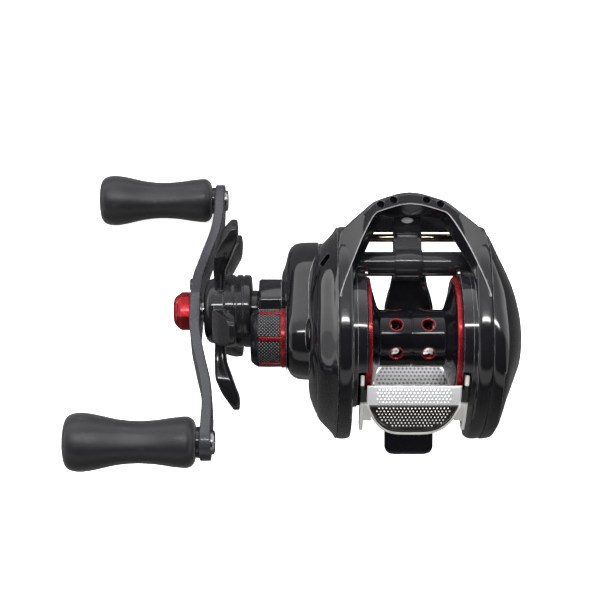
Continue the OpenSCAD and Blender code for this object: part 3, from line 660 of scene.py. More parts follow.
def block(name, low, high, edge=0.5):
    """Bar with rounded edges."""
    x0, y0, z0 = low
    x1, y1, z1 = high
    e = edge
    loops = []
    outline = rounded([(y0, z0), (y1, z0), (y1, z1), (y0, z1)], e)
    middle = ((y0 + y1) / 2, (z0 + z1) / 2)
    for x, s in ((x0, e), (x0 + e * 0.3, e * 0.3), (x0 + e, 0), (x1 - e, 0), (x1 - e * 0.3, e * 0.3),
                 (x1, e)):
        shrink_y = 1 - 2 * s / (y1 - y0)
        shrink_z = 1 - 2 * s / (z1 - z0)
        loops.append([(x, middle[0] + (p[0] - middle[0]) * shrink_y,
                       middle[1] + (p[1] - middle[1]) * shrink_z)
                      for p in outline])
    return loft(name, loops, sharp=50)


def make_frame():
    web = 3.5
    parts = [frame_wall("wall_palm", 1, 17.32), frame_wall("wall_gear", -1, 17.32)]
    # thumb bar recess: the ring stops behind the spool and only its outer part carries on
    for side in (1, -1):
        parts.append(spool_ring("ring", side, 12.4, 15.3, -172, 117))
        parts.append(spool_ring("ring_outer", side, 15.2, 16.5, -180, 180, shoulder=False))
    # thin web behind the spool on the gear side
    parts.append(turned("web", [(-17.4, web), (-16.45, web), (-16.45, 17.5), (-17.4, 17.5)], SPOOL))
    parts.append(block("front_bar", (-16.6, 17.5, 2.4), (16.6, 20.8, 7.6), 0.7))
    parts.append(block("rear_bar", (-16.6, -19, 2.4), (16.6, -14, 7.2), 0.7))
    foot_top = box_mm("reel_foot")[1][2]
    # spine on top of the foot, narrower towards the front bar
    plan = rounded([(-5.8, -24), (-5.8, 8), (-3.8, 18), (6.0, 18), (7.6, 8), (7.6, -24)], 0.6)
    rise = ((foot_top, 0.0), (3.3, 0.0), (3.55, 0.1), (3.6, 0.3))
    parts.append(loft("spine", [[(x, y, z) for x, y in inset(plan, s)] for z, s in rise], sharp=45))
    return place(join("frame_casting", parts), "frame", "satin_black", "frame")


def palm_plate():
    """Crowned cover of the palm side, open at its centre for the brake dial."""
    sections = [(20.36, -29.0, 28.9, 0.993, 0), (20.55, -29.25, 29.2, 1.0, 0), (21.2, -29.2, 28.3, 0.995, 0),
                (22.3, -29.0, 25.9, 0.975, 0.01), (23.3, -28.6, 23.6, 0.95, 0.02),
                (24.1, -27.2, 21.9, 0.91, 0.05), (24.9, -24.2, 20.2, 0.86, 0.09),
                (25.8, -20.6, 18.3, 0.79, 0.15), (26.9, -16.9, 15.9, 0.7, 0.25),
                (27.9, -13.4, 13.4, 0.6, 0.4), (28.7, -10.8, 10.9, 0.49, 0.6), (29.25, -8.9, 9.2, 0.4, 0.85)]
    base = smooth_loop(PALM, 12)
    loops = []
    for x, rear, front, tall, circular in sections:
        span = (front - rear) / 58.8
        drop = (x - WALL_OUT) / (29.6 - WALL_OUT) * 4
        points = [((rear + front) / 2 + (p[0] - 0.2) * span, 18.5 + drop + (p[1] - 18.5) * tall)
                  for p in base]
        ring = circle(SPOOL, (front - rear) / 2, AROUND)
        loops.append(at_x(x, mixed(by_angle(points, SPOOL, AROUND), ring, circular)))
    for x, r in ((29.52, 7.9), (29.58, 7.3), (29.5, 6.95), (29.2, 6.75), (26.5, 6.75), (26.4, 12), (21, 14)):
        loops.append(at_x(x, circle(SPOOL, r, AROUND)))
    obj = loft("palm_cover", loops, cap=False, sharp=35)
    return place(obj, "frame", "gloss_black", "palm_side_plate")


def two_circles(drive_r, spool_r):
    return by_angle(convex(circle(DRIVE, drive_r, 360) + circle(SPOOL, spool_r, 360)),
                    (DRIVE[0], DRIVE[1] + 3), AROUND)


def gear_cover():
    """Drum over the main gear with a lobe around the spool axis and an eight-sided boss."""
    seat_x, guard = -34.68, 8.75
    sections = [(-25.3, 19.7, 10.4), (-25.5, 20.0, 10.7), (-27, 20.0, 10.7), (-29.5, 19.95, 10.5),
                (-31.4, 19.7, 10.2), (-32.5, 19.2, 9.9), (-33.3, 18.5, 9.5), (-33.9, 17.5, 9.0),
                (-34.3, 16.3, 8.3), (-34.55, 15, 7)]
    loops = [at_x(x, two_circles(d, s)) for x, d, s in sections]
    centre = (DRIVE[0], DRIVE[1] + 3)
    for x, r in ((-34.9, 13.6), (-35.3, 12.4), (-35.75, 11.4), (-35.95, 10.6), (-36.0, 8)):
        loops.append(at_x(x, by_angle(circle(DRIVE, r, 360), centre, AROUND)))
    for loop in loops:
        for k, (x, y, z) in enumerate(loop):
            near = math.dist((y, z), SPOOL)
            if near < guard and x < seat_x:
                loop[k] = (seat_x, y, z)
    drum = loft("drum", loops, cap=False, sharp=32)
    flange_sections = [(-25.25, 0.765), (-25.6, 0.77), (-26.3, 0.735), (-27.1, 0.67), (-27.9, 0.59),
                       (-28.3, 0.5)]
    flange = loft("flange", [at_x(x, rim_loop(scale=s)) for x, s in flange_sections], sharp=32)
    boss_loops = []
    corner = 10.0
    eight = [(DRIVE[0] + corner * math.cos(math.radians(45 * k + 22.5)),
              DRIVE[1] + corner * math.sin(math.radians(45 * k + 22.5))) for k in range(8)]
    outline = rounded(eight, 0.9, 5)
    for x, s in ((-35.4, 1.0), (-41.7, 1.0), (-42.1, 0.985), (-42.4, 0.95), (-42.5, 0.9), (-42.5, 0.74),
                 (-42.2, 0.71)):
        boss_loops.append(at_x(x, scaled(outline, DRIVE, s)))
    boss = loft("boss", boss_loops, cap=False, sharp=32)
    bore = turned("boss_bore", [(-42.2, 7.1), (-42.2, 6.6), (-38, 6.6), (-38, 7.1)], DRIVE)
    # collar under the cast-control cap
    collar = turned("collar", [(-34.4, 6.45), (-34.4, 9.3), (-34.6, 9.1), (-34.72, 8.7), (-34.72, 6.45)],
                    SPOOL)
    place(case_dimple(), "frame", "dimple_black")
    return place(join("gear_case", [drum, flange, boss, bore, collar]), "frame", "gloss_black",
                 "gear_case_cover")


def case_dimple():
    """Oval hollow on top of the gear case, inside a low rim."""
    crest = sorted(p for p in two_circles(20.0, 10.65) if p[1] > SPOOL[1])
    loops = []
    for share, rise in ((1.0, -0.2), (1.0, 0.06), (0.93, 0.14), (0.84, 0.1), (0.72, 0.03), (0.4, 0.02)):
        loop = []
        for k in range(72):
            angle = 2 * math.pi * k / 72
            y = 1.2 + 4.6 * share * math.sin(angle)
            loop.append((-28.1 + 1.25 * share * math.cos(angle), y, height_on(crest, y) + rise))
        loops.append(loop)
    return loft("case_dimple", loops, sharp=50)


def gear_plate():
    """Plate between the frame and the gear case, falling away from the rail to the case."""
    sections = [(-20.36, 0.99), (-20.5, 1.0), (-20.9, 0.985), (-21.5, 0.95), (-22.6, 0.905), (-23.8, 0.865),
                (-24.9, 0.825), (-25.7, 0.785), (-26.1, 0.74), (-26.2, 0.6)]
    shell = loft("shell", [at_x(x, rim_loop(scale=s)) for x, s in sections], sharp=32)
    drum = turned("drum_band", [(-20.4, 15), (-20.4, 19.1), (-20.6, 19.35), (-20.9, 19.5), (-25.05, 19.7),
                                (-25.2, 19.5), (-25.2, 15)], DRIVE, count=160)
    # slanting slot through the upper front corner
    c, s = math.cos(math.radians(-35)), math.sin(math.radians(-35))
    slot = rounded([(-0.65, -1.9), (0.65, -1.9), (0.65, 1.9), (-0.65, 1.9)], 0.5, 4)
    cut(shell, [loft("slot", [[(-23.9 + p * c - q * s, 21.4 + p * s + q * c, z) for p, q in slot]
                              for z in (25, 45)])])
    smooth(shell, 32)
    return place(join("gear_plate", [shell, drum]), "frame", "gloss_black", "gear_side_plate")


def hood_top(y):
    """Height of the nose's top line at a place along Y."""
    line = [(10.5, 40.05), (13.5, 39.3), (16, 38.4), (19, 37.3), (24, 34.8), (30, 30.2), (34.4, 26.4),
            (38, 23.0), (40.9, 20.2), (42, 19)]
    return height_on(smooth_line(line, 6), y)


def height_on(line, y):
    """Height at a place along Y on a line of (Y, height) points."""
    for p, q in zip(line, line[1:]):
        if p[0] <= y <= q[0]:
            return p[1] + (q[1] - p[1]) * (y - p[0]) / (q[0] - p[0])
    return line[0][1] if y < line[0][0] else line[-1][1]


# Stations of the nose from its tip back along the rail:
# outer edge, ridge and inner edge as (X, Y), underside height, and how far the inner edge lies below the top
NOSE = [((0, 40.9), (0, 37.3), (0, 33.9), 12.4, 5.0), ((3.5, 40.4), (3.2, 36.9), (2.8, 33.8), 12.4, 5.0),
        ((10, 38.1), (9.5, 34.8), (8.2, 33.0), 13.6, 5.0),
        ((14, 34.7), (11.5, 32.1), (10.0, 29.8), 16.5, 5.0),
        ((17.4, 31.6), (13.8, 27.6), (11.9, 26.0), 20.5, 4.6),
        ((19.7, 29.2), (15.3, 24.2), (13.5, 22.8), 22.4, 3.8),
        ((20.3, 26.5), (16.5, 21.3), (14.9, 20.0), 23.4, 2.6),
        ((20.3, 23.0), (17.7, 18.3), (16.0, 17.4), 25.2, 1.3),
        ((20.3, 19.0), (18.7, 15.8), (16.6, 15.4), 28.0, 0.7),
        ((20.3, 15.0), (19.5, 13.6), (16.9, 13.4), 31.0, 0.5),
        ((20.3, 12.0), (20.1, 11.6), (17.2, 11.4), 33.0, 0.45)]


def nose():
    """Front hood: a flat band on top, a crisp ridge, and a chamfer that falls to the line opening."""
    flat = [(*outer, *ridge, *inner, low, drop) for outer, ridge, inner, low, drop in NOSE]
    stations = []
    for ox, oy, rx, ry, ix, iy, low, drop in refine(flat, 6):
        top_o, top_r = hood_top(oy) - 0.25, hood_top(ry) + 0.12
        top_i = hood_top(iy) - drop
        out = unit(ox - ix, oy - iy)
        band = math.dist((ox, oy), (rx, ry))
        ease = min(0.8, band * 0.6)
        section = [(ox, oy, low + 0.5), (ox, oy, (low + top_o) / 2), (ox, oy, top_o - 1.1),
                   (ox - out[0] * 0.15 * ease, oy - out[1] * 0.15 * ease, top_o - 0.5),
                   (ox - out[0] * 0.5 * ease, oy - out[1] * 0.5 * ease, top_o - 0.12),
                   (ox - out[0] * ease, oy - out[1] * ease, top_o + 0.02),
                   (rx + out[0] * 0.2 * ease, ry + out[1] * 0.2 * ease, top_r - 0.01),
                   (rx, ry, top_r - 0.05),
                   (rx - out[0] * 0.16, ry - out[1] * 0.16, top_r - 0.2),
                   (ix + out[0] * 0.3, iy + out[1] * 0.3, top_i + 0.08 * drop), (ix, iy, top_i),
                   (ix + out[0] * 0.1, iy + out[1] * 0.1, top_i - 1.4),
                   (ix + out[0] * 1.6, iy + out[1] * 1.6, max(top_i - 2.4, low + 0.6)),
                   (ox - out[0] * 1.4, oy - out[1] * 1.4, low + 0.1),
                   (ox - out[0] * 0.4, oy - out[1] * 0.4, low)]
        stations.append(section)
    mirrored = [[(-x, y, z) for x, y, z in section] for section in reversed(stations[1:])]
    obj = loft("nose", mirrored + stations, sharp=28)
    holes = []
    for side in (1, -1):
        for x, y in ((4.6, 38.5), (8.3, 37.2)):
            holes.append(upright_bar("hole", side * x, y, 1.15, hood_top(y) - 3.2, hood_top(y) + 4))
    cut(obj, holes)
    smooth(obj, 28)
    place(join("front_nose", [obj] + nose_lip()), "frame", "gloss_black", "front_hood")
    ridge_highlight_strip(stations)
    return obj


def ridge_highlight_strip(stations):
    """Thin grey strip along the nose's ridge: a painted highlight for the light line that the black ridge
    catches.
    """
    loops = []
    for section in stations:
        ridge, fall = section[7], section[8]
        size = math.dist(ridge[:2], fall[:2])
        out = ((ridge[0] - fall[0]) / size, (ridge[1] - fall[1]) / size)
        spots = [(0.1, 0.0), (0.02, 0.07), (-0.1, 0.03), (-0.16, -0.1), (0.0, -0.2)]
        loops.append([(ridge[0] + out[0] * a, ridge[1] + out[1] * a, ridge[2] + b) for a, b in spots])
    mirrored = [[(-x, y, z) for x, y, z in loop] for loop in reversed(loops[1:])]
    place(loft("ridge_line", mirrored + loops, sharp=20), "frame", "ridge_painted_highlight")


def nose_lip():
    """Lip under the line opening, with a cheek at each end."""
    front = smooth_line([(0, 38.6), (6, 38.4), (10, 37.2), (14, 33.9), (14.8, 33.0)], 6)
    cols, rows = 61, 15
    top, bottom = [], []
    for i in range(rows):
        v = i / (rows - 1)
        t_row, b_row = [], []
        for k in range(cols):
            x = -14.8 + 29.6 * k / (cols - 1)
            y = 30.3 + (height_on(front, abs(x)) - 30.3) * v
            rise = 1.3 * max(0.0, (y - 36) / 2.6) ** 1.5
            ease = 0.35 * max(0.0, 1 - v * 8) ** 2
            t_row.append((x, y, 5.0 + rise - ease))
            b_row.append((x, y, 3.8 + rise + ease))
        top.append(t_row)
        bottom.append(b_row)
    parts = [sheet("lip_floor", top, bottom, 35)]
    outline = rounded([(30.3, 4), (30.3, 22), (33.6, 20), (33.6, 4)], 0.5)
    for side in (1, -1):
        loops = slices(outline, ((13.1, 0.2), (13.3, 0), (14.3, 0), (14.5, 0.2)), side)
        parts.append(loft("lip_cheek", loops, sharp=45))
    return parts


def refine(line, steps):
    """Finer stations, half way between a straight and a smooth run."""
    out = []
    for i in range(len(line) - 1):
        a, b, c, d = line[max(i - 1, 0)], line[i], line[i + 1], line[min(i + 2, len(line) - 1)]
        for k in range(steps):
            t = k / steps
            soft = spline_point(a, b, c, d, t)
            hard = tuple(q * (1 - t) + r * t for q, r in zip(b, c))
            out.append(tuple(0.5 * s + 0.5 * h for s, h in zip(soft, hard)))
    out.append(tuple(line[-1]))
    return out


def unit(x, y):
    size = math.hypot(x, y) or 1.0
    return x / size, y / size


def upright_bar(name, x, y, r, z0, z1, count=40):
    loops = [[(x + r * math.cos(2 * math.pi * k / count), y + r * math.sin(2 * math.pi * k / count), z)
              for k in range(count)] for z in (z0, z1)]
    return loft(name, loops)


make_frame()
palm_plate()
gear_cover()
gear_plate()
nose()


# ---- thumb bar, deck, foot ----

def studs(name, spots, radius, height, sides, surface, slope):
    """Small domes standing on a surface; surface(x, y) is its height and slope(x, y) its fall along Y."""
    vertices, faces = [], []
    rings = [(1.0, -0.1), (0.95, 0.45 * height), (0.72, 0.85 * height), (0.35, height)]
    for x, y in spots:
        start = len(vertices)
        fall = slope(x, y)
        size = math.hypot(1, fall)
        for share, lift in rings:
            for k in range(sides):
                angle = 2 * math.pi * k / sides
                px = x + radius * share * math.cos(angle)
                py = y + radius * share * math.sin(angle) / size
                vertices.append((px, py - fall / size * lift, surface(px, py) + lift / size))
        for r in range(len(rings) - 1):
            for k in range(sides):
                a, b = start + r * sides + k, start + r * sides + (k + 1) % sides
                faces.append((a, b, b + sides, a + sides))
        faces.append(tuple(start + (len(rings) - 1) * sides + k for k in range(sides)))
        faces.append(tuple(start + k for k in range(sides - 1, -1, -1)))
    return add_mesh(name, vertices, faces, 50)


def staggered(x_from, x_to, y_from, y_to, pitch, inside):
    spots = []
    row_step = pitch * 0.87
    rows = int((y_to - y_from) / row_step) + 1
    for i in range(rows):
        x = x_from + (pitch / 2 if i % 2 else 0.0)
        while x <= x_to:
            y = y_from + i * row_step
            if inside(x, y):
                spots.append((x, y))
            x += pitch
    return spots


BAR_HALF = 12.7
BAR_LINE = smooth_line([(-26.4, 24.9), (-24.6, 27.3), (-21.6, 30.7), (-18.2, 33.6)], 8)[:-1] + \
    smooth_line([(-17.6, 33.95), (-15, 35.5), (-12.4, 36.75)], 8)


def bar_rear(x):
    """Rear edge of the thumb bar's plan, a rounded D."""
    share = min(1.0, abs(x) / BAR_HALF)
    return -26.2 + 8.6 * share ** 3.8


def bar_height(x, y):
    crown = 0.5 * (1 - (x / BAR_HALF) ** 2) - 0.5
    z = height_on(BAR_LINE, y) + crown
    border = y - bar_rear(x)
    if y < -17.2 and border < 1.5:
        ease = max(0.0, min(1.0, (1.5 - border) / 0.35))
        z += 0.34 * ease * ease * (3 - 2 * ease)
    return z


def bar_slope(x, y):
    return (height_on(BAR_LINE, y + 0.2) - height_on(BAR_LINE, y - 0.2)) / 0.4


def thumb_bar():
    cols, rows = 121, 81
    top, bottom = [], []
    for i in range(rows):
        v = i / (rows - 1)
        t_row, b_row = [], []
        for k in range(cols):
            x = -BAR_HALF + 2 * BAR_HALF * k / (cols - 1)
            rear = bar_rear(x)
            y = rear + (-12.4 - rear) * v
            z = bar_height(x, y)
            edge = min(1.0, min(v, 1 - v) * 12, (BAR_HALF - abs(x)) / 0.5)
            soft = 0.25 * (1 - max(0.0, edge)) ** 2
            t_row.append((x, y, z - soft))
            b_row.append((x, y + (0.35 if v < 0.3 else 0.0), min(z - 0.6, height_on(BAR_LINE, y) - 1.35)))
        top.append(t_row)
        bottom.append(b_row)
    plate = sheet("bar_plate", top, bottom, 35)

    def inside(x, y):
        if y > -17.6:
            return abs(x) < 10.1
        return y < -18.15 and abs(x) < 10.1 and y - bar_rear(x) > 1.95
    spots = staggered(-9.85, 10, -24.6, -12.9, 0.98, inside)
    fine = studs("bar_dots_rear", [p for p in spots if p[1] < -17.8], 0.21, 0.2, 10, bar_height, bar_slope)
    broad = studs("bar_dots_front", [p for p in spots if p[1] > -17.8], 0.27, 0.2, 10, bar_height, bar_slope)
    dots = join("bar_dots", [fine, broad])
    arms = []
    outline = rounded([(-9.4, 38.4), (-12.5, 37), (-17.8, 33.9), (-22.6, 29.5), (-25.4, 25.8), (-23.6, 22.6),
                       (-17, 28), (-9.4, 33.4)], 0.8)
    for side in (1, -1):
        loops = slices(outline, ((13.5, 0.25), (13.6, 0.08), (13.75, 0), (14.3, 0), (14.42, 0.08),
                                 (14.5, 0.25)),
                       side)
        arms.append(loft("bar_arm", loops, sharp=50))
        # webs that tie the plate to its arms
        web = rounded([(-13.4, 35.6), (-17.8, 33.2), (-22.4, 28.9), (-22.0, 27.9), (-17.4, 32.0),
                       (-13.4, 34.4)], 0.3)
        arms.append(loft("bar_web", [at_x(side * 11.4, web), at_x(side * 13.7, web)], sharp=40))
    place(join("thumb_rest", [plate]), "thumb_bar", "thumb_chrome", "thumb_bar")
    place(join("thumb_arms", arms), "thumb_bar", "arm_chrome")
    place(bar_rim(), "thumb_bar", "arm_chrome")
    return place(dots, "thumb_bar", "stud_painted_glint")


def bar_rim():
    """Polished bead around the thumb bar's rear edge."""
    line = []
    for k in range(97):
        x = -BAR_HALF * math.cos(math.pi * k / 96)
        y = bar_rear(x)
        line.append((x, y, bar_height(x, y)))
    loops = []
    for before, here, after in zip([line[0]] + line, line, line[1:] + [line[-1]]):
        out = unit(before[1] - after[1], after[0] - before[0])
        loops.append([(here[0] - out[0] * a, here[1] - out[1] * a, here[2] + b)
                      for a, b in ((0.28, -0.5), (0.3, 0.0), (0.12, 0.22), (-0.25, 0.24), (-0.55, 0.02),
                                   (-0.4, -0.5))])
    return loft("bar_bead", loops, sharp=50)


def deck_plate():
    low, high = box_mm("deck_plate")
    top_r, low_r = 18.2, 18.9
    cols, rows = 60, 40
    x0, x1 = low[0], high[0]
    y0, y1 = low[1], high[1]

    def width(y):
        """Share of the half width that the plate has at a place along Y."""
        past = (y - (y0 + 5.5)) / 2.7
        return 1.0 if past < 0 else (1 - 0.23 * min(past, 1.0) - 0.07 * max(0.0, min((past - 1) / 2.2, 1.0)))

    def height(x, y):
        return SPOOL[1] - math.sqrt(top_r ** 2 - y ** 2)
    top, bottom = [], []
    middle, half = (x0 + x1) / 2, (x1 - x0) / 2
    for i in range(rows):
        y = y0 + (y1 - y0) * i / (rows - 1)
        line = [middle + half * width(y) * (2 * k / (cols - 1) - 1) for k in range(cols)]
        top.append([(x, y, height(x, y)) for x in line])
        bottom.append([(x, y, SPOOL[1] - math.sqrt(low_r ** 2 - y ** 2)) for x in line])
    plate = sheet("deck_skin", top, bottom, 35)
    spots = staggered(x0 + 0.9, x1 - 0.6, y0 + 0.7, y1 - 0.5, 1.15,
                      lambda x, y: abs(x - middle) < half * width(y) - 0.55)
    dots = studs("deck_studs", spots, 0.42, 0.24, 4, height, lambda x, y: y / math.sqrt(top_r ** 2 - y ** 2))
    # The studs are painted a darker grey, painted shade for the dimples' hollows
    place(dots, "frame", "deck_dimple_painted_shade")
    return place(plate, "frame", "deck_steel", "deck_plate")


def reel_foot():
    """Seat plate with round rear corners and a sloping toe at each end."""
    low, high = box_mm("reel_foot")
    middle = (low[0] + high[0]) / 2
    half = (high[0] - low[0]) / 2
    rear, front = low[1], high[1]
    rows, cols = 90, 25
    # half width along Y: it narrows ahead of the spool to a slim front toe
    plan = [(rear, half), (8.9, half)] + smooth_line([(9, half), (13, 6.1), (17, 4.8), (24, 3.9),
                                                      (front, 3.9)], 6)
    top, bottom = [], []
    for i in range(rows):
        t = i / (rows - 1)
        y = rear + (front - rear) * (t - math.sin(2 * math.pi * t) / (2 * math.pi) * 0.6)
        end = min(1.0, (y - rear) / 2.6, (front - y) / 2.6)
        width = height_on(plan, y) - min(2.5, half) * (1 - math.sqrt(max(0.0, 1 - (1 - end) ** 2)))
        thick = min(high[2], 0.9 + 1.1 * (y - rear) / 9.8, 0.9 + 1.1 * (front - y) / 9.2)
        t_row, b_row = [], []
        for k in range(cols):
            u = 2 * k / (cols - 1) - 1
            x = middle + width * u
            edge = max(0.0, abs(u) - 0.9) / 0.1
            drop = 0.3 * edge ** 2 + 0.3 * max(0.0, 1 - end * 2) ** 2
            t_row.append((x, y, max(0.2, thick - drop)))
            b_row.append((x, y, low[2]))
        top.append(t_row)
        bottom.append(b_row)
    plate = sheet("foot_plate", top, bottom, 45)
    # raised arc pressed in the rear toe
    arc = []
    for k in range(25):
        angle = math.radians(20 + 140 * k / 24)
        x, y = middle + 3.4 * math.cos(angle), -29.6 + 1.2 * math.sin(angle)
        z = min(high[2], 0.9 + 1.1 * (y - rear) / 9.8)
        arc.append([(x + dx, y + dy, z + dz) for dx, dy, dz in
                    ((0, 0.22, -0.1), (0, 0.12, 0.1), (0, -0.12, 0.1), (0, -0.22, -0.1))])
    mark = loft("foot_arc", arc, sharp=60)
    obj = place(join("seat_foot", [plate, mark]), "frame", "foot_black", "reel_foot")
    rivets = []
    for y in (-14, -2, 12):
        loops = []
        for z, r in ((low[2] + 0.05, 1.3), (high[2] + 0.1, 1.3), (high[2] + 0.4, 1.05), (high[2] + 0.5, 0.5)):
            loops.append([(middle + r * math.cos(2 * math.pi * k / 40),
                           y + r * math.sin(2 * math.pi * k / 40), z)
                          for k in range(40)])
        rivets.append(loft("rivet", loops))
    place(join("foot_heads", rivets), "frame", "foot_black", "foot_rivets")
    return obj


# ---- spool ----

def bar(name, x0, x1, r, at, edge=0.15, bore=0.0, count=72):
    """Round bar or sleeve along X with eased ends."""
    e = edge
    outer = [(x0, r - e), (x0 + 0.3 * e, r - 0.3 * e), (x0 + e, r), (x1 - e, r), (x1 - 0.3 * e, r - 0.3 * e),
             (x1, r - e)]
    if bore:
        return turned(name, outer + [(x1, bore), (x0, bore)], at, count)
    return turned(name, outer, at, count, wrap=False)


def spool_body():
    half = [(13.15, 15.6), (13.15, 12.2), (12.9, 12), (11.2, 12), (9.2, 6.7)]
    outside = [(13.15, 15.55), (11.55, 15.6), (11.35, 15.45), (11.1, 14.9), (10.2, 11.6), (9.4, 9.1),
               (9.05, 8.35), (8.75, 8.07), (8.4, 8.0), (0.36, 8.0), (0.26, 7.94), (0.2, 7.72), (0, 7.68)]
    profile = ([(-x, r) for x, r in outside] + [(x, r) for x, r in reversed(outside[:-1])] + half[1:]
               + [(-x, r) for x, r in reversed(half[1:])])
    obj = turned("spool_core", profile, SPOOL, count=144)
    tools, rims = [], []
    for side in (1, -1):
        for k in range(6):
            angle = math.radians(60 * k + 30)
            direction = (-math.sin(angle), math.cos(angle))
            across = (math.cos(angle), math.sin(angle))
            centre_x = side * 4.4

            def ring(radius, reach, steps=32):
                loop = []
                for j in range(steps):
                    turn = 2 * math.pi * j / steps
                    w = radius * math.sin(turn)
                    bow = math.sqrt(max(0.0, reach ** 2 - w ** 2))
                    loop.append((centre_x + radius * math.cos(turn),
                                 SPOOL[0] + direction[0] * bow + across[0] * w,
                                 SPOOL[1] + direction[1] * bow + across[1] * w))
                return loop
            tools.append(loft("hole", [ring(1.9, 5.0), ring(1.9, 9.5)]))
            rims.append(loft("hole_rim", [ring(1.62, 6.75), ring(1.62, 7.86), ring(1.74, 7.99),
                                          ring(1.95, 8.02),
                                          ring(2.02, 7.9), ring(1.9, 7.5), ring(1.9, 6.75)], wrap=True,
                                          sharp=40))
    cut(obj, tools)
    smooth(obj, 32)
    place(obj, "spool", "spool_black", "spool")
    place(join("hole_rims", rims), "spool", "red_anodised")


def spool_rims():
    parts = []
    for side in (1, -1):
        profile = [(11.42, 15.65), (11.32, 15.85), (11.3, 16.4), (11.38, 16.75), (11.6, 16.95), (11.95, 17.0),
                   (12.5, 17.0), (12.85, 16.93), (13.05, 16.7), (13.1, 16.3), (13.1, 15.65)]
        parts.append(turned("rim", [(side * x, r) for x, r in profile], SPOOL, count=180))
    return place(join("spool_edges", parts), "spool", "red_anodised", "spool_rims")


thumb_bar()
deck_plate()
reel_foot()
spool_body()
spool_rims()


# ---- handle, star and knobs ----

ARM_THICK = 3.0
HALF_SPAN = math.dist(KNOBS["front"], DRIVE)


def on_handle(x, along, across):
    """Place given along and across the line of the two knob axes."""
    c, s = math.cos(HANDLE_TILT), math.sin(HANDLE_TILT)
    return (x, DRIVE[0] + along * c - across * s, DRIVE[1] + along * s + across * c)


def arm_face(along):
    """X of the arm's outer face."""
    outer = [(0, -62.1), (5, -62.1), (11, -61.9), (20, -60.2), (30, -58), (38, -57.2), (43, -57.2),
             (54, -57.2)]
    return height_on(smooth_line(outer, 6), min(abs(along), 54))


def arm_width(along):
    a = abs(along)
    body = height_on(smooth_line([(0, 7.4), (4, 7.0), (9, 5.6), (14, 4.75), (20, 4.4), (32, 4.45), (42, 4.85),
                                  (48, 5)],
                                 6), min(a, 48))
    hub = math.sqrt(max(0.0, 7.6 ** 2 - a ** 2)) if a < 7.6 else 0.0
    if a > HALF_SPAN:
        return math.sqrt(max(0.01, 25 - (a - HALF_SPAN) ** 2))
    return max(body, min(hub, 7.6)) if a < 4 else body


def handle_arm():
    spots = [HALF_SPAN * t / 60 for t in range(-60, 61)]
    ends = [HALF_SPAN + 5 * math.sin(math.radians(a)) for a in (12, 24, 36, 48, 58, 67, 75, 82, 87)]
    spots = [-e for e in reversed(ends)] + spots + ends
    loops = []
    for s in spots:
        x, w = arm_face(s), arm_width(s)
        e = min(0.55, w * 0.5)
        corner = rounded([(x, -w), (x, w), (x + ARM_THICK, w), (x + ARM_THICK, -w)], e, 4)
        loops.append([on_handle(p[0], s, p[1]) for p in corner])
    return place(loft("crank_arm", loops, sharp=45), "drive", "gunmetal", "handle_arm")


def star_arm(angle):
    """Paddle of the star: slim at the hub, broad and leaning inwards at its tip."""
    stations = [(6, -55.2, -52.4, 3.9), (9.6, -55.2, -52.4, 3.6), (12, -55.2, -52.3, 3.45),
                (15, -55.2, -51.9, 3.75), (18, -55.1, -50.8, 4.35), (20, -54.85, -50.1, 4.65),
                (22, -54.0, -49.4, 4.6), (24.4, -52.8, -48.4, 4.3), (26.5, -51.3, -48.2, 3.9),
                (28, -50.2, -48.3, 3.2), (28.6, -49.8, -48.5, 2.3)]
    fine = refine(stations, 4)
    c, s = math.cos(angle), math.sin(angle)
    loops = []
    for reach, x0, x1, half in fine:
        e = min(0.9, (x1 - x0) * 0.3)
        belly = 0.35
        corner = rounded([(x0, -half), (x0 - belly * 0.3, 0), (x0, half), (x1, half * 0.94), (x1 + belly, 0),
                          (x1, -half * 0.94)], e, 4)
        loops.append([(p[0], DRIVE[0] - reach * s + p[1] * c, DRIVE[1] + reach * c + p[1] * s)
                      for p in corner])
    return loft("star_arm", loops, sharp=42)


def star_drag():
    hub = [(-58.2, 3.4), (-58.2, 6.7), (-58.05, 7.2), (-57.6, 8.3), (-57.1, 8.9), (-56.4, 9.3), (-55.6, 9.5),
           (-52.7, 9.5), (-52.5, 9.65), (-52.4, 10.0), (-52.2, 10.35), (-51.8, 10.5), (-49.7, 10.5),
           (-49.5, 10.42), (-49.35, 10.1), (-48.85, 10.1), (-48.7, 10.42), (-48.5, 10.5), (-47.3, 10.5),
           (-47.2, 10.38), (-47.05, 10.15), (-46.85, 10.15), (-46.7, 10.38), (-46.6, 10.5), (-45.2, 10.5),
           (-44.8, 10.25), (-44.6, 9.8), (-44.6, 7), (-48.2, 7), (-48.2, 3.4)]
    parts = [turned("star_hub", hub, DRIVE, 128, sharp=35)]
    parts += [star_arm(math.radians(72 * k + 12)) for k in range(5)]
    return place(join("star_wheel", parts), "star_drag", "star_black", "star_drag")


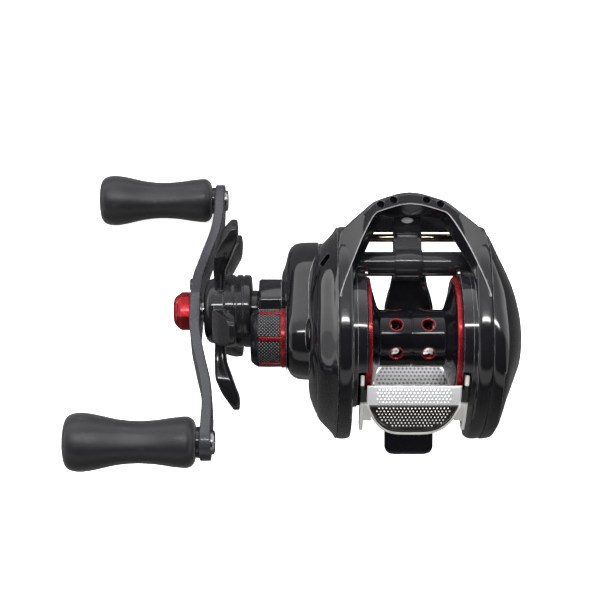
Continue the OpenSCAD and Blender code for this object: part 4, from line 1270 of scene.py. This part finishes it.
def knob(which, node, cap_node):
    low, high = box_mm(node)
    x0, x1 = low[0], high[0]
    length = x1 - x0
    line = [(0.0, 2.75), (0.05, 3.6), (0.25, 5.3), (0.8, 6.6), (2, 7.5), (4.4, 7.9), (8, 7.5), (14, 6.2),
            (19, 5.72), (24, 5.92), (29, 6.6), (32.4, 6.9), (33.8, 6.5), (34.6, 5.7), (34.9, 5.0),
            (length, 4.3)]
    profile = [(x0 + p[0], p[1]) for p in smooth_line(line, 5)]
    at = KNOBS[which]

    def facets(angle, x, r):
        along = (x - x0) / length
        fade = math.sin(math.pi * min(1.0, max(0.0, along))) ** 0.6
        flat = math.cos(3 * (angle - HANDLE_TILT))
        return -0.34 * fade * max(0.0, flat) ** 1.5 * min(1.0, r / 5)
    inner = [(x1, 2.6), (x1 - 1.0, 2.5), (x0 + 1.7, 2.5), (x0 + 1.5, 2.62), (x0 + 0.02, 2.62)]
    obj = turned("grip_" + which, profile + inner, at, 112, ripple=lambda a, x,
                 r: facets(a, x, r) if r > 3 else 0.0,
                 sharp=40)
    place(obj, "knob_" + which, "knob_rubber", node)
    cap = turned("grip_cap_" + which, [(x0, 0.35), (x0 - 0.02, 0.6), (x0 + 0.05, 0.75), (x0 + 0.02, 0.9),
                                       (x0, 1.9), (x0 + 0.1, 2.25), (x0 + 0.35, 2.48), (x0 + 0.98, 2.5)], at,
                                       64,
                 wrap=False)
    place(cap, "knob_" + which, "cap_steel", cap_node)


def handle_fittings():
    parts, collars = [], []
    for at in KNOBS.values():
        parts.append(bar("post", -91, -54.3, 2.28, at, 0.12))
        parts.append(turned("post_head", [(-54.45, 2.0), (-54.4, 3.1), (-54.25, 3.3), (-53.75, 3.3),
                                          (-53.35, 3.05), (-53.2, 2.5), (-53.2, 1.2),
                                          (-53.6, 1.1)], at, 64, wrap=False))
        low, high = box_mm("knob_washers")
        collars.append(bar("collar", low[0], high[0], 4.2, at, 0.22, bore=2.42))
    place(join("knob_posts", parts), "drive", "steel", "knob_shafts")
    # nut: six sides, chamfered, with a domed crown and an end recess
    hexagon = []
    across = 10 / math.cos(math.radians(30)) / 2
    for k in range(6):
        angle = math.radians(60 * k)
        hexagon.append((across * math.cos(angle), across * math.sin(angle)))
    outline = rounded(hexagon, 0.22, 2)
    loops = []
    for x, s in ((-62.25, 0.95), (-62.4, 0.99), (-62.6, 1.0), (-64.9, 1.0), (-65.5, 0.93), (-66.15, 0.84)):
        loops.append([on_handle(x, p[1] * s, p[0] * s) for p in outline])
    body = loft("nut_body", loops, sharp=28)
    crown = turned("nut_crown", [(-66.1, 4.6), (-66.3, 4.55), (-66.75, 4.1), (-67.1, 3.5), (-67.2, 3.0),
                                 (-67.2, 2.1), (-67.05, 1.95), (-66.7, 1.9),
                                 (-66.6, 0.4)], DRIVE, 72, wrap=False, sharp=35)
    place(join("crown_nut", [body, crown]), "drive", "red_anodised", "handle_nut")
    place(join("arm_collars", collars), "drive", "star_black", "knob_washers")


def tension_knob():
    """Cast-control cap: chamfered nose, diamond knurl between six stripes."""
    stripe = math.radians(60)

    def knurl(angle, x, r):
        if r < 7.95 or not -42.2 < x < -36.15:
            return 0.0
        away = abs((angle + stripe) % stripe - stripe / 2)
        if away * r < 0.58:
            return -0.52
        turns = KNURL_COUNT * angle / (2 * math.pi)
        ridge_a = abs(((turns + x / KNURL_PITCH) % 1.0) - 0.5) * 2
        ridge_b = abs(((turns - x / KNURL_PITCH) % 1.0) - 0.5) * 2
        return 0.22 * min(ridge_a, ridge_b) - 0.12
    profile = [(-44.25, 0.3), (-44.3, 0.5), (-44.3, 6.2), (-44.18, 6.6), (-43.1, 7.62), (-42.75, 7.72),
               (-42.55, 7.8), (-42.4, 7.99)]
    steps = 42
    profile += [(-42.3 + 6.2 * k / steps, 8.0) for k in range(steps + 1)]
    profile += [(-36.0, 7.9), (-36.0, 7.38), (-34.85, 7.38), (-34.8, 7.2), (-34.8, 6.56), (-42.7, 6.56),
                (-42.8, 0.3)]
    obj = turned("cast_cap", profile, SPOOL, 552, ripple=knurl, sharp=50)
    return place(obj, "tension_cap", "black_knurl", "tension_cap")


def tension_trim():
    parts = [turned("trim_ring", [(-35.98, 7.42), (-35.98, 8.1), (-35.9, 8.22), (-35.75, 8.25),
                                  (-35.05, 8.25), (-34.88, 8.2), (-34.8, 8.05), (-34.8, 7.42)], SPOOL, 144)]
    for k in range(6):
        angle = math.radians(60 * k)
        out = (-math.sin(angle), math.cos(angle))
        side = (math.cos(angle), math.sin(angle))
        section = rounded([(-0.48, 7.5), (0.48, 7.5), (0.48, 8.3), (-0.48, 8.3)], 0.16, 3)
        loops = []
        for x, lower in ((-41.98, 0.18), (-41.85, 0.04), (-41.6, 0), (-36.2, 0), (-35.9, 0)):
            loops.append([(x, SPOOL[0] + out[0] * (p[1] - lower) + side[0] * p[0],
                           SPOOL[1] + out[1] * (p[1] - lower) + side[1] * p[0]) for p in section])
        parts.append(loft("trim_stripe", loops, sharp=45))
    return place(join("cap_trim", parts), "tension_cap", "red_anodised", "tension_cap_trim")


handle_arm()
star_drag()
knob("front", "knob_front", "knob_cap_front")
knob("rear", "knob_rear", "knob_cap_rear")
handle_fittings()
tension_knob()
tension_trim()


# ---- level wind and small parts ----

def carriage():
    """Block that runs on the worm tube, with a bridge to the guide rod and an upright for the line guide."""
    low, high = box_mm("levelwind_carriage")
    x0, x1 = low[0], high[0]
    e = 0.45
    slider_r = math.dist(WORM, SPOOL) - RIM_R - 0.2
    parts = [bar("slider", x0, x1, slider_r, WORM, 0.4, bore=tube_radius() + 0.08)]

    def prism(outline, soft, a=x0, b=x1):
        outline = rounded(outline, soft, 4)
        start, end = slices(outline, ((a, 0.3), (a + 0.12, 0.1))), slices(outline,
                                                                          ((b - 0.12, 0.1), (b, 0.3)))
        return loft("prism", start + [at_x(a + e, outline), at_x(b - e, outline)] + end, sharp=42)
    parts.append(prism([(15.9, 11.4), (17, 13.4), (19.4, 16.9), (21, 12)], 0.5))
    parts.append(prism([(23, 18.6), (26.5, 17.6), (28.8, 16.8), (28.8, 12.2), (23, 11.8)], 0.5))
    parts.append(prism([(28.2, 12.2), (28.2, 16.7), (33.4, 16.5), (35.8, 15.4), (35.8, 6.6), (33, 5.8),
                        (30.4, 6.4), (30, 12)], 0.7))
    parts.append(bar("rod_sleeve", x0 + 0.9, x1 - 0.9, 2.45, ROD, 0.3, bore=1.26))
    pawl = [(0.3, -7.6), (1.6, -7.6), (1.9, -7.3), (1.9, -3.8), (0.3, -3.8)]
    loops = [[(-0.4 + r * math.cos(2 * math.pi * k / 36), WORM[0] + r * math.sin(2 * math.pi * k / 36),
               WORM[1] + z)
              for k in range(36)] for r, z in pawl]
    parts.append(loft("pawl_cap", loops))
    return place(join("line_carriage", parts), "carriage", "carriage_black", "levelwind_carriage")


def along_y(name, profile, x, z, count=64):
    """Solid of revolution about an axis along Y, from closed [y, radius] points."""
    loops = [[(x + r * math.cos(2 * math.pi * k / count), y, z + r * math.sin(2 * math.pi * k / count))
              for k in range(count)] for y, r in profile]
    return loft(name, loops, wrap=True, sharp=35)


def line_guide():
    low, high = box_mm("line_guide")
    x, z = (low[0] + high[0]) / 2, (low[2] + high[2]) / 2
    y0, y1 = low[1], high[1]
    eye = along_y("line_eye", [(y0, 1.35), (y0, 2.15), (y0 + 0.1, 2.2), (y1 - 0.35, 2.2), (y1 - 0.1, 2.12),
                               (y1, 1.9), (y1 - 0.02, 1.62), (y1 - 0.15, 1.42), (y1 - 0.5, 1.3),
                               (y0 + 0.5, 1.3)], x, z)
    place(eye, "carriage", "cap_steel", "line_guide")
    loops = []
    for share, rise in ((1.0, -0.3), (1.0, 0.05), (0.9, 0.22), (0.65, 0.36), (0.3, 0.42)):
        loops.append([(x + 1.7 * share * math.cos(2 * math.pi * k / 40),
                       33.1 + 0.85 * share * math.sin(2 * math.pi * k / 40), 16.5 + rise) for k in range(40)])
    return place(loft("line_eye_top", loops, sharp=60), "carriage", "chrome")


def tube_radius():
    low, high = box_mm("worm_tube")
    return (high[1] - low[1]) / 2


def rods():
    low, high = box_mm("guide_rod")
    place(bar("guide_bar", low[0], high[0], 1.2, ROD, 0.15), "frame", "rod_brass", "guide_rod")
    # tube over the worm, open along its underside
    section = []
    for k in range(49):
        angle = math.radians(-68 + 316 * k / 48)
        section.append((math.cos(angle), math.sin(angle)))
    out_r = tube_radius()
    bore = out_r - 0.55
    outline = [(WORM[0] + out_r * c, WORM[1] + out_r * s) for c, s in section]
    outline += [(WORM[0] + bore * c, WORM[1] + bore * s) for c, s in reversed(section)]
    sleeve = [loft("worm_sleeve", [at_x(-12.6, outline), at_x(12.6, outline)], sharp=40)]
    for side in (1, -1):
        sleeve.append(turned("sleeve_end", [(side * x, r)
                                            for x, r in ((12.55, bore), (12.55, out_r), (16.38, out_r),
                                                                      (16.38, bore))], WORM, 72))
    place(join("worm_cover", sleeve), "frame", "carriage_black", "worm_tube")
    low, high = box_mm("neck_collar")
    place(bar("stem_collar", low[0], high[0], 6.0, DRIVE, 0.25, bore=4.87), "drive", "star_black",
          "neck_collar")


def screw(name, x_head, at, r, slot_turn):
    """Countersunk head seen from outside, with a cross recess."""
    head = turned(name, [(x_head + 1.4, 1.0), (x_head + 0.75, 1.05), (x_head + 0.15, r - 0.05),
                         (x_head, r - 0.2), (x_head, 0.1)], at, 56, wrap=False)
    tools = []
    for turn in (slot_turn, slot_turn + 90):
        c, s = math.cos(math.radians(turn)), math.sin(math.radians(turn))
        corners = [(-0.17, -r * 0.58), (0.17, -r * 0.58), (0.17, r * 0.58), (-0.17, r * 0.58)]
        loop = [(at[0] + p * c - q * s, at[1] + p * s + q * c) for p, q in corners]
        tools.append(loft("cross", [at_x(x_head - 0.3, loop), at_x(x_head + 0.45, scaled(loop, at, 0.7))]))
    cut(head, tools)
    smooth(head, 30)
    return head


def brake_dial():
    """Sunk dial with a grip bar across it and a notched rim."""
    x1 = box_mm("brake_dial")[1][0]

    def notches(angle, x, r):
        return -0.28 * max(0.0, math.cos(24 * angle)) ** 2 if r > 6 and x > 28.2 else 0.0
    face = [(23.02, 0.4), (23.02, 3.5), (23.1, 3.6), (27.2, 3.6), (27.2, 6.6), (x1 - 0.6, 6.6),
            (x1 - 0.3, 6.5), (x1 - 0.1, 6.25), (x1 - 0.03, 5.9), (x1 - 0.05, 5.4), (x1 - 0.25, 5.15),
            (x1 - 1.05, 5.05), (x1 - 1.1, 0.4)]
    disc = turned("dial_disc", face, SPOOL, 240, wrap=False, ripple=notches, sharp=35)
    grip = []
    outline = rounded([(-5.0, -1.25), (5.0, -1.25), (5.0, 1.25), (-5.0, 1.25)], 0.7, 4)
    for x, s in ((x1 - 1.2, 0.0), (x1 - 0.45, 0.0), (x1 - 0.2, 0.08), (x1 - 0.06, 0.25), (x1, 0.5)):
        grip.append([(x, SPOOL[0] + p[0], SPOOL[1] + p[1]) for p in inset(outline, s)])
    bar_piece = loft("dial_grip", grip, sharp=35)
    return place(join("magnet_dial", [disc, bar_piece]), "brake_dial", "dial_grey", "brake_dial")


def small_screws():
    head = screw("case_screw", -28.4, (DRIVE[0] - 12.2, DRIVE[1] + 14.9), 1.75, 20)
    place(head, "frame", "brass", "case_screws")
    stop = turned("nut_stop", [(-61.6, 1.0), (-62.1, 1.0), (-62.1, 1.88), (-62.2, 1.95), (-63.0, 1.9),
                               (-63.2, 1.6), (-63.2, 0.9), (-62.9, 0.8), (-62.9, 0.1)],
                  on_handle(0, 10.7, 0)[1:], 48, wrap=False)
    place(stop, "drive", "star_black", "nut_retainer")


def tube_clips():
    """Bright spring clips that hold the worm tube to the rings."""
    clips = []
    for side in (1, -1):
        outline = rounded([(17.0, 28.2), (18.5, 27.9), (19.0, 28.8), (18.3, 30.0), (17.2, 30.1)], 0.35, 3)
        loops = slices(outline, ((12.15, 0.2), (12.25, 0), (12.95, 0), (13.05, 0.2)), side)
        clips.append(loft("clip_ear", loops, sharp=40))
    return place(join("tube_clips", clips), "frame", "steel")


carriage()
line_guide()
rods()
brake_dial()
small_screws()
tube_clips()

# ---- stage, light and camera ----

def stage():
    """White paper that glows a little, so that only the deepest contact shadow is left on it."""
    floor_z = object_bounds()[0][2] - 0.0005
    mesh = bpy.data.meshes.new("floor")
    size = 6.0
    mesh.from_pydata([(-size, -size, floor_z), (size, -size, floor_z), (size, size, floor_z),
                      (-size, size, floor_z)],
                     [], [(0, 1, 2, 3)])
    floor = bpy.data.objects.new("floor", mesh)
    bpy.context.scene.collection.objects.link(floor)
    n = Nodes("floor_paper")
    mirrored = n.add("ShaderNodeLightPath").outputs["Is Glossy Ray"]
    paper = n.blend(n.noise(8.0, 2.0), (0.93, 0.93, 0.93), (0.96, 0.96, 0.96))
    n.set("Base Color", n.blend(mirrored, paper, (0.03, 0.03, 0.03)))
    n.set("Roughness", 0.9)
    n.set("Specular IOR Level", 0.0)
    n.set("Emission Color", (1, 1, 1, 1))
    n.set("Emission Strength", n.ramp(mirrored, 0.0, 1.0, 0.62, 0.04))
    mesh.materials.append(n.mat)
    floor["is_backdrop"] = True


def soft_light(name, place_at, target, width, height, power, glossy=True):
    data = bpy.data.lights.new(name, "AREA")
    data.shape = "RECTANGLE"
    data.size = width
    data.size_y = height
    data.energy = power
    obj = bpy.data.objects.new(name, data)
    obj.location = place_at
    direction = Vector(target) - Vector(place_at)
    obj.rotation_euler = direction.to_track_quat("-Z", "Y").to_euler()
    obj.visible_glossy = glossy
    bpy.context.scene.collection.objects.link(obj)


def studio():
    """Surroundings: white sweep at the horizon, dark ceiling, dim panel at the front with a bright edge."""
    world = bpy.data.worlds.new("studio")
    world.use_nodes = True
    tree = world.node_tree
    background = tree.nodes["Background"]

    def calc(operation, *values):
        node = tree.nodes.new("ShaderNodeMath")
        node.operation = operation
        for socket, value in zip(node.inputs, values):
            if isinstance(value, bpy.types.NodeSocket):
                tree.links.new(value, socket)
            else:
                socket.default_value = value
        return node.outputs[0]

    def step(value, low, high):
        node = tree.nodes.new("ShaderNodeMapRange")
        node.interpolation_type = "SMOOTHSTEP"
        tree.links.new(value, node.inputs["Value"])
        node.inputs["From Min"].default_value = low
        node.inputs["From Max"].default_value = high
        return node.outputs[0]

    coords = tree.nodes.new("ShaderNodeTexCoord")
    split = tree.nodes.new("ShaderNodeSeparateXYZ")
    tree.links.new(coords.outputs["Generated"], split.inputs[0])
    x, y, z = split.outputs
    forward = calc("MULTIPLY", calc("ARCTAN2", y, z), 180 / math.pi)
    across = calc("ABSOLUTE", x)
    sweep = calc("SUBTRACT", 1.0, step(z, 0.05, 0.3))
    panel = calc("MULTIPLY", step(forward, 21, 24), 0.5)
    glow = calc("MULTIPLY", step(forward, 40, 85), 0.6)
    streak = calc("MULTIPLY", calc("MULTIPLY", step(forward, 21, 22),
                                   calc("SUBTRACT", 1.0, step(forward, 24, 25))),
                  calc("MULTIPLY", calc("SUBTRACT", 1.0, step(across, 0.3, 0.5)), 18.0))
    rear = calc("MULTIPLY", calc("MULTIPLY", calc("SUBTRACT", 1.0, step(forward, -50, -38)),
                                 step(forward, -78, -68)), 0.4)
    sides = calc("MULTIPLY", step(across, 0.72, 0.95), 0.6)
    total = calc("ADD", calc("ADD", calc("ADD", panel, glow), calc("ADD", streak, rear)),
                 calc("ADD", sides, 0.012))
    light = calc("MAXIMUM", total, calc("MULTIPLY", sweep,
                                        calc("ADD", 0.07, calc("MULTIPLY", step(y, -0.3, 0.4), 0.65))))
    tree.links.new(light, background.inputs[1])
    background.inputs[0].default_value = (1, 1, 1, 1)
    bpy.context.scene.world = world


def lights():
    studio()
    soft_light("key_panel", (-0.3, 0.8, 0.55), (0, 0, 0.02), 0.6, 0.5, 34.0, glossy=False)
    soft_light("fill_panel", (0.0, 0.0, 0.95), (0, 0, 0.02), 0.35, 0.35, 7.0, glossy=False)


def camera():
    data = bpy.data.cameras.new("camera")
    data.sensor_width = 36.0
    data.lens = 79.92
    data.clip_start = 0.01
    obj = bpy.data.objects.new("camera", data)
    obj.location = (-30.7 * MM, 10.6 * MM, (SPOOL[1] + 370) * MM)
    bpy.context.scene.collection.objects.link(obj)
    bpy.context.scene.camera = obj


stage()
lights()
camera()
bpy.context.scene.view_settings.view_transform = "Standard"
